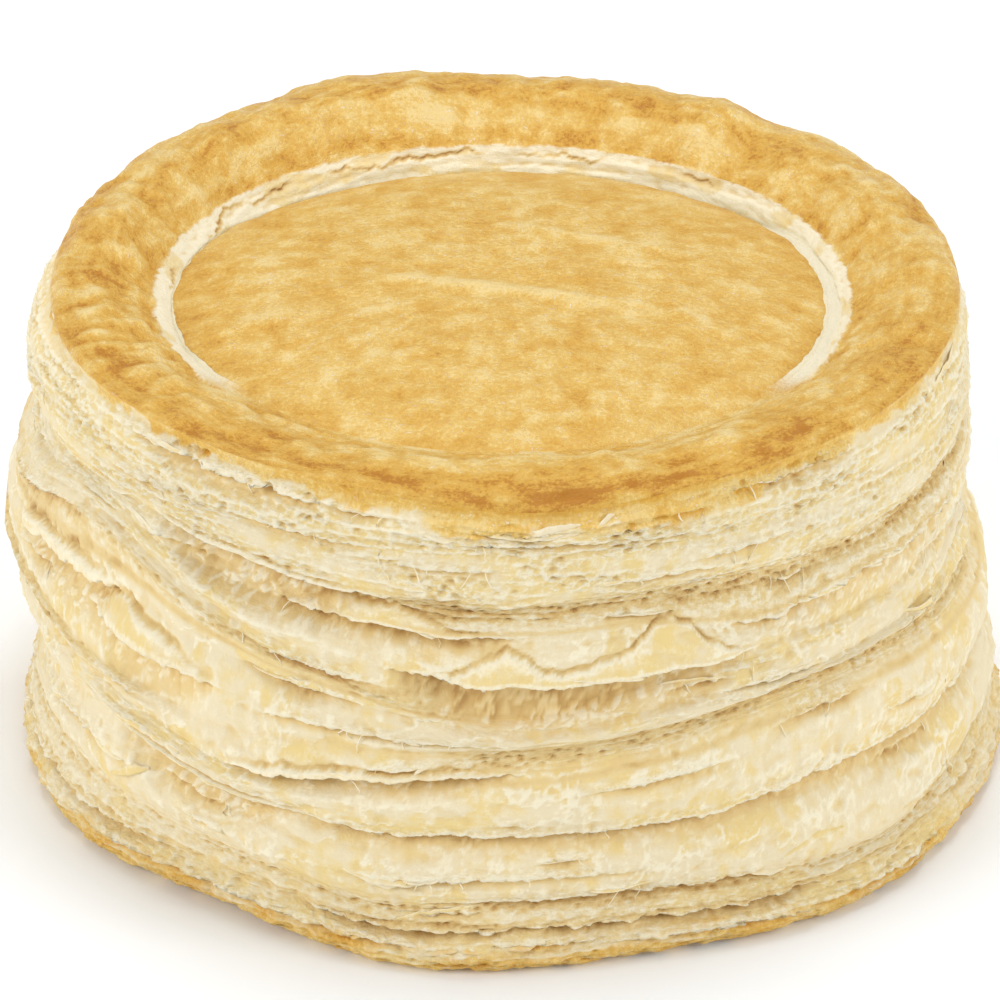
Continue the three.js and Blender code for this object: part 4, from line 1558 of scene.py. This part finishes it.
def makeLid():
    turn = np.linspace(-180, 180, lid["columns"], endpoint=False)[:, None]
    opened = opening(turn)
    radius, height = lidProfile(turn)
    points = placeOnDrum(turn, radius, height, groove["forward"])
    x, y = points[..., 0].copy(), points[..., 1].copy()
    noiseX = x * lid["noiseSpread"]
    lumps = layered(noiseX, y, lid["lumpNoise"])
    knobs = layered(noiseX, y, lid["knobNoise"])
    folds = lidFolds(x, y, lumps)
    relief = smooth(*lid["reliefWithin"], radius) * (lid["lumps"] * lumps + lid["knobs"] * knobs)
    points[..., 2] += relief + lid["foldHeight"] * folds
    rows = radius.shape[1]
    onDome = (np.arange(rows) >= lid["wallRows"])[None, :] * 1.0
    edge = smooth(*lid["edgeFrom"], radius) * opened
    toast = lid["toast"] + layered(noiseX, y, lid["patches"]) + layered(turn, radius, lid["ringNoise"])
    toast = toast + lid["edgeToast"] * edge - lid["foldToast"] * folds - lid["knobToast"] * knobs
    marks = {"yellow": 0.15, "white": 0.9 * (1 - onDome), "painted_shade": 0.0, "rough": 0.1,
             "bake": np.maximum(onDome, 1 - opened), "toast": toast}
    marks = {key: np.broadcast_to(value, radius.shape).ravel() for key, value in marks.items()}
    marks["layerSpace"] = np.stack([x, y, 60 + 0 * x], axis=-1).reshape(-1, 3)
    faces = gridFaces(lid["columns"], rows, True).tolist()
    faces.append([c * rows + rows - 1 for c in range(lid["columns"])])
    normals = gridNormals(points).reshape(-1, 3)
    addPiece(makeMesh("lid", points.reshape(-1, 3), faces, marks, normals), materials["golden crust"])


makeRim()
makeLid()

# Torn skins and threads that stand off the dough.

tornSkins = {
    "thickness": 0.09,
    "thinner": 0.55,        # by this share at the tip
    "rows": 5,
    "frontStep": 0.19,
    "backStep": 0.36,
    "placedStep": 0.8,      # the placed ones take this share of the front's step
    "buried": 0.35,         # the root lies this far inside the dough
    "ragged": 0.22,
    "uneven": 0.06,         # how far the root wanders up and down
    "highest": 47,
    "rough": 0.2,
    "toast": 0.35,
    "footTo": 3.5,          # below this they are baked with the foot
    "footBake": 0.5,
}
# skins in front: (path of (turn, height), width, stands out, which way it points: 1 down, -1 up,
# how yellow)
placedSkins = [
    ([(-53, 9.3), (-50, 10.2), (-46, 12.0)], 1.0, 0.6, -1, 0.8),
    ([(33, 7.4), (36, 8.6), (39, 8.9), (42, 8.2)], 0.8, 0.5, 1, 0.8),
    ([(-18, 2.6), (-15, 4.2), (-10, 3.2), (-5, 3.4), (-2, 2.4)], 1.0, 1.0, 1, 0.6),
    ([(-2, 3.9), (1, 3.4), (5, 3.9)], 0.8, 0.7, 1, 0.5),
]
scatteredSkins = {
    "seed": 5,
    "above": 5.0,           # none on the foot
    "front": 70,
    "back": 60,
    "length": (1.5, 11.0),
    "width": (0.25, 0.75),
    "standsOut": (0.06, 0.25),
    "yellow": (0.1, 0.8),
    "pathPoints": 10,
    "least": 1.5,           # degrees of path, or it is left out
    "pointDown": 0.6,       # share of them
    "aboveLip": {1: 0.3, -1: 0.15},     # the root of those that point down and up
    "slope": 0.5,
}
threads = {
    "seed": 9,
    "count": 150,
    "thickness": (0.035, 0.075),
    "length": (0.8, 2.8),
    "segments": 7,
    "lean": 1.2,
    "aboveLip": 0.4,
    "lowest": 0.3,
    "sag": 0.25,
    "marks": {"yellow": 0.3, "white": 0.8, "painted_shade": 0, "rough": 0, "bake": 0, "toast": 0},
}

columnTurns = np.where(turns[:, 0] < -sideMesh["frontTo"] - 0.001, turns[:, 0] + 360, turns[:, 0])
columnHeights = np.maximum.accumulate(sideHeight, axis=1)


# the outside of the side at any turn and height
def surfaceRadius(turn, height):
    unwrapped = (turn + sideMesh["frontTo"]) % 360 - sideMesh["frontTo"]
    column = np.clip(np.searchsorted(columnTurns, unwrapped), 0, len(columnTurns) - 1)
    return np.array([np.interp(z, columnHeights[c], sideRadius[c]) for c, z in zip(column, height)])


# a random line that wanders between -1 and 1
def wander(along, grain, draw):
    knots = draw.uniform(-1, 1, int(along.max() / grain) + 3)
    return np.interp(along / grain, np.arange(len(knots)), knots)


class TornMesh:
    def __init__(self):
        self.points, self.faces, self.marks, self.count = [], [], {}, 0

    def add(self, points, faces, marks):
        self.points.append(points)
        self.faces.extend((faces + self.count).tolist())
        for key, value in marks.items():
            self.marks.setdefault(key, []).append(value)
        self.count += len(points)

    # a thin closed shell round a sheet of points
    def addSheet(self, sheet, thickness, marks):
        n, rows = sheet.shape[:2]
        normal = unit(np.cross(np.gradient(sheet, axis=0), np.gradient(sheet, axis=1)))
        half = normal * thickness[..., None] / 2
        points = np.concatenate([(sheet + half).reshape(-1, 3), (sheet - half).reshape(-1, 3)])
        outer = gridFaces(n, rows, False)
        inner = outer[:, ::-1] + n * rows
        grid = np.arange(n * rows).reshape(n, rows)
        border = np.concatenate([grid[:, 0], grid[-1, 1:], grid[-2::-1, -1], grid[0, -2:0:-1]])
        following = np.roll(border, -1)
        side = np.stack([following, border, border + n * rows, following + n * rows], axis=-1)
        marks = {key: np.concatenate([value.reshape(n * rows, -1)] * 2).squeeze(-1) if value.ndim == 2
                 else np.concatenate([value.reshape(-1, 3)] * 2) for key, value in marks.items()}
        self.add(points, np.concatenate([outer, inner, side]), marks)

    def finish(self, name):
        marks = {key: np.concatenate(value) for key, value in self.marks.items()}
        addPiece(makeMesh(name, np.concatenate(self.points), self.faces, marks), materials["torn skin"])


def skinMarks(turn, height, share, yellow, draw, along):
    t = tornSkins
    tip = share ** 3 + 0 * turn
    blotch = wander(along, 2.0, draw)[:, None]
    fringe = wander(along, 0.5, draw)[:, None]
    none = np.zeros(tip.shape)
    return {
        "yellow": np.clip(yellow + 0.25 * blotch - 0.3 * tip, 0, 1),
        "white": np.clip(0.1 + 0.5 * tip + 0.25 * fringe, 0, 1),
        "painted_shade": none,
        "rough": none + t["rough"],
        "bake": none + t["footBake"] * (height < t["footTo"]),
        "toast": none + t["toast"],
        "layerSpace": layerSpaceOf(turn + 0 * share, height + 0 * share),
    }


# one torn skin along a path on the side
def addSkin(torn, pathTurns, pathHeights, width, standsOut, points, yellow, step, draw):
    t = tornSkins
    lengths = np.hypot(np.diff(pathTurns) * degreeLength, np.diff(pathHeights))
    at = np.concatenate([[0], np.cumsum(lengths)])
    n = max(6, int(at[-1] / step))
    along = np.linspace(0, at[-1], n)
    turn = np.interp(along, at, pathTurns)
    height = np.interp(along, at, pathHeights) + t["uneven"] * wander(along, 1.4, draw)
    runRound, runUp = np.gradient(turn) * degreeLength, np.gradient(height)
    run = np.maximum(np.hypot(runRound, runUp), 1e-6)
    side = -points * np.sign(runRound + 1e-9)
    taper = np.sin(math.pi * np.linspace(0.02, 0.98, n)) ** 0.55
    jags = wander(along, 2.2, draw) + 0.6 * wander(along, 0.5, draw)
    wide = width * taper * np.clip(1 + t["ragged"] * jags, 0.15, 2)
    root = np.pad(surfaceRadius(turn, height), 2, mode="edge")
    root = np.convolve(root, np.ones(5) / 5, mode="valid")[:, None]
    share = np.linspace(0, 1, t["rows"])[None, :]
    lean = standsOut * np.clip(0.8 + 0.35 * wander(along, 3.5, draw), 0.1, 1.4) * taper
    turnGrid = turn[:, None] + (-runUp / run * side / degreeLength * wide)[:, None] * share
    heightGrid = np.clip(height[:, None] + (runRound / run * side * wide)[:, None] * share, 0.1, t["highest"])
    if points > 0:
        radius = root - t["buried"] * (1 - share) ** 2 + lean[:, None] * share ** 1.3
    else:
        radius = root + 0.6 * lean[:, None] * (1 - 0.8 * share ** 1.5) - 0.06
    thickness = t["thickness"] * (1 - t["thinner"] * share) + 0 * turnGrid
    torn.addSheet(placeOnDrum(turnGrid, radius, heightGrid), thickness,
                  skinMarks(turnGrid, heightGrid, share, yellow, draw, along))


# a thread with four sides that is thin at both ends
def addThread(torn, path, thickness):
    n = len(path)
    direction = unit(np.gradient(path, axis=0))
    sideways = unit(np.cross(direction, [0.31, 0.17, 0.93]))
    upwards = np.cross(direction, sideways)
    taper = thickness * (0.4 + 0.6 * np.sin(math.pi * np.linspace(0.05, 0.95, n)))[:, None]
    corners = [sideways * math.cos(a) + upwards * math.sin(a) for a in np.arange(4) * math.pi / 2]
    points = np.stack([path + taper * corner for corner in corners], axis=1).reshape(-1, 3)
    start = np.arange(n - 1)[:, None] * 4
    corner = np.arange(4)[None, :]
    following = (corner + 1) % 4
    faces = np.stack([start + corner, start + following, start + 4 + following, start + 4 + corner], axis=-1)
    ends = np.array([[3, 2, 1, 0], [4 * n - 4, 4 * n - 3, 4 * n - 2, 4 * n - 1]])
    marks = {key: np.full(len(points), float(value)) for key, value in threads["marks"].items()}
    marks["layerSpace"] = points
    torn.add(points, np.concatenate([faces.reshape(-1, 4), ends]), marks)


# every lip that skins and threads can hang from: (level, start, end)
def lipsAround():
    lips = [(layers[layer][0] - down, start, end) for layer, down, start, end, *rest in everySplit()]
    lips += [(tear[0], tear[1], tear[2]) for tear in everyTear()]
    lips = [lip for lip in lips if lip[0] > scatteredSkins["above"]]
    return lips + [(at, -180, 180) for at, shows, porous in fringes["rows"]]


def scatterSkins(name, count, fromTurn, toTurn, step, lips, draw):
    s = scatteredSkins
    torn = TornMesh()
    while count:
        level, start, end = lips[draw.integers(len(lips))]
        middle = draw.uniform(start, end)
        if not fromTurn < (middle + sideMesh["frontTo"]) % 360 - sideMesh["frontTo"] < toTurn:
            continue
        half = draw.uniform(*s["length"]) / 2 / degreeLength
        pathTurns = np.linspace(max(middle - half, start), min(middle + half, end), s["pathPoints"])
        if pathTurns[-1] - pathTurns[0] < s["least"]:
            continue
        width = draw.uniform(*s["width"])
        points = 1 if draw.random() < s["pointDown"] else -1
        slope = np.linspace(-1, 1, s["pathPoints"]) * draw.uniform(-s["slope"], s["slope"])
        heights = heightOf(pathTurns, level + s["aboveLip"][points]) + slope
        standsOut = draw.uniform(*s["standsOut"])
        addSkin(torn, pathTurns, heights, width, standsOut, points, draw.uniform(*s["yellow"]), step, draw)
        count -= 1
    torn.finish(name)


def makeTornSkins(lips):
    t = tornSkins
    draw = np.random.default_rng(scatteredSkins["seed"])
    placed = TornMesh()
    for path, width, standsOut, points, yellow in placedSkins:
        pathTurns, heights = np.array(path, dtype=float).T
        step = t["frontStep"] * t["placedStep"]
        addSkin(placed, pathTurns, heights, width, standsOut, points, yellow, step, draw)
    placed.finish("skins_on_lips")
    front = sideMesh["frontTo"]
    scatterSkins("skins_front", scatteredSkins["front"], -front, front, t["frontStep"], lips, draw)
    scatterSkins("skins_back", scatteredSkins["back"], front, 360 - front, t["backStep"], lips, draw)


def makeThreads(lips):
    t = threads
    draw = np.random.default_rng(t["seed"])
    torn = TornMesh()
    share = np.linspace(0, 1, t["segments"])
    for n in range(t["count"]):
        level, start, end = lips[draw.integers(len(lips))]
        turn = draw.uniform(start, end)
        length = draw.uniform(*t["length"])
        lean = draw.uniform(-t["lean"], t["lean"])
        turnLine = turn + lean * length * share / degreeLength * 0.6
        height = np.maximum(heightOf(turnLine, level + t["aboveLip"]) - length * share, t["lowest"])
        first, last = surfaceRadius(turnLine[[0, -1]], height[[0, -1]])
        line = between(first, last, share) + t["sag"] * np.sin(math.pi * share) - 0.1
        path = placeOnDrum(turnLine + 0.4 * wander(share * 3, 1, draw), line, height)
        addThread(torn, path, draw.uniform(*t["thickness"]))
    torn.finish("threads")


lips = lipsAround()
makeTornSkins(lips)
makeThreads(lips)

view = {
    "distance": 0.9,
    "tilt": 29.0,             # looks down this far
    "aim": (0.0, 0.0, 0.023),
    "lens": 353.5,
    "shift": (-0.0065, -0.003),
}


def makeCamera():
    data = bpy.data.cameras.new("camera")
    data.lens = view["lens"]
    data.sensor_width = 36
    data.shift_x, data.shift_y = view["shift"]
    camera = bpy.data.objects.new("camera", data)
    tilt = math.radians(view["tilt"])
    away = Vector((0, -math.cos(tilt), math.sin(tilt))) * view["distance"]
    camera.location = Vector(view["aim"]) + away
    camera.rotation_euler = (math.pi / 2 - tilt, 0, 0)
    bpy.context.scene.collection.objects.link(camera)
    bpy.context.scene.camera = camera


studio = {
    "sky": 0.45,
    "floorHalf": 3.0,
    "floorColour": (0.945, 0.965, 0.99),
    "floorRoughness": 0.9,
    "floorSpecular": 0.1,
    # name: (position, size, watts)
    "lights": {
        "over": ((0.0, 0.3, 1.05), 0.65, 5.5),
        "left": ((-0.95, -0.5, 0.5), 0.65, 6.4),
        "right": ((0.95, -0.5, 0.5), 0.65, 5.8),
    },
}


def makeStudio():
    world = bpy.data.worlds.new("studio")
    world.use_nodes = True
    sky = world.node_tree.nodes["Background"]
    sky.inputs["Color"].default_value = (1, 1, 1, 1)
    sky.inputs["Strength"].default_value = studio["sky"]
    bpy.context.scene.world = world
    mesh = bpy.data.meshes.new("floor")
    half = studio["floorHalf"]
    corners = [(-half, -half, 0), (half, -half, 0), (half, half, 0), (-half, half, 0)]
    mesh.from_pydata(corners, [], [(0, 1, 2, 3)])
    floor = bpy.data.objects.new("floor", mesh)
    material = bpy.data.materials.new("floor")
    material.use_nodes = True
    shader = material.node_tree.nodes["Principled BSDF"]
    shader.inputs["Base Color"].default_value = (*studio["floorColour"], 1)
    shader.inputs["Roughness"].default_value = studio["floorRoughness"]
    shader.inputs["Specular IOR Level"].default_value = studio["floorSpecular"]
    mesh.materials.append(material)
    bpy.context.scene.collection.objects.link(floor)
    for name, (place, size, watts) in studio["lights"].items():
        data = bpy.data.lights.new(name, "AREA")
        data.energy = watts
        data.size = size
        lamp = bpy.data.objects.new(name, data)
        lamp.location = place
        lamp.rotation_euler = (Vector(view["aim"]) - Vector(place)).to_track_quat("-Z", "Y").to_euler()
        bpy.context.scene.collection.objects.link(lamp)
    bpy.context.scene.view_settings.view_transform = "Standard"


makeCamera()
makeStudio()
print("studio ready")
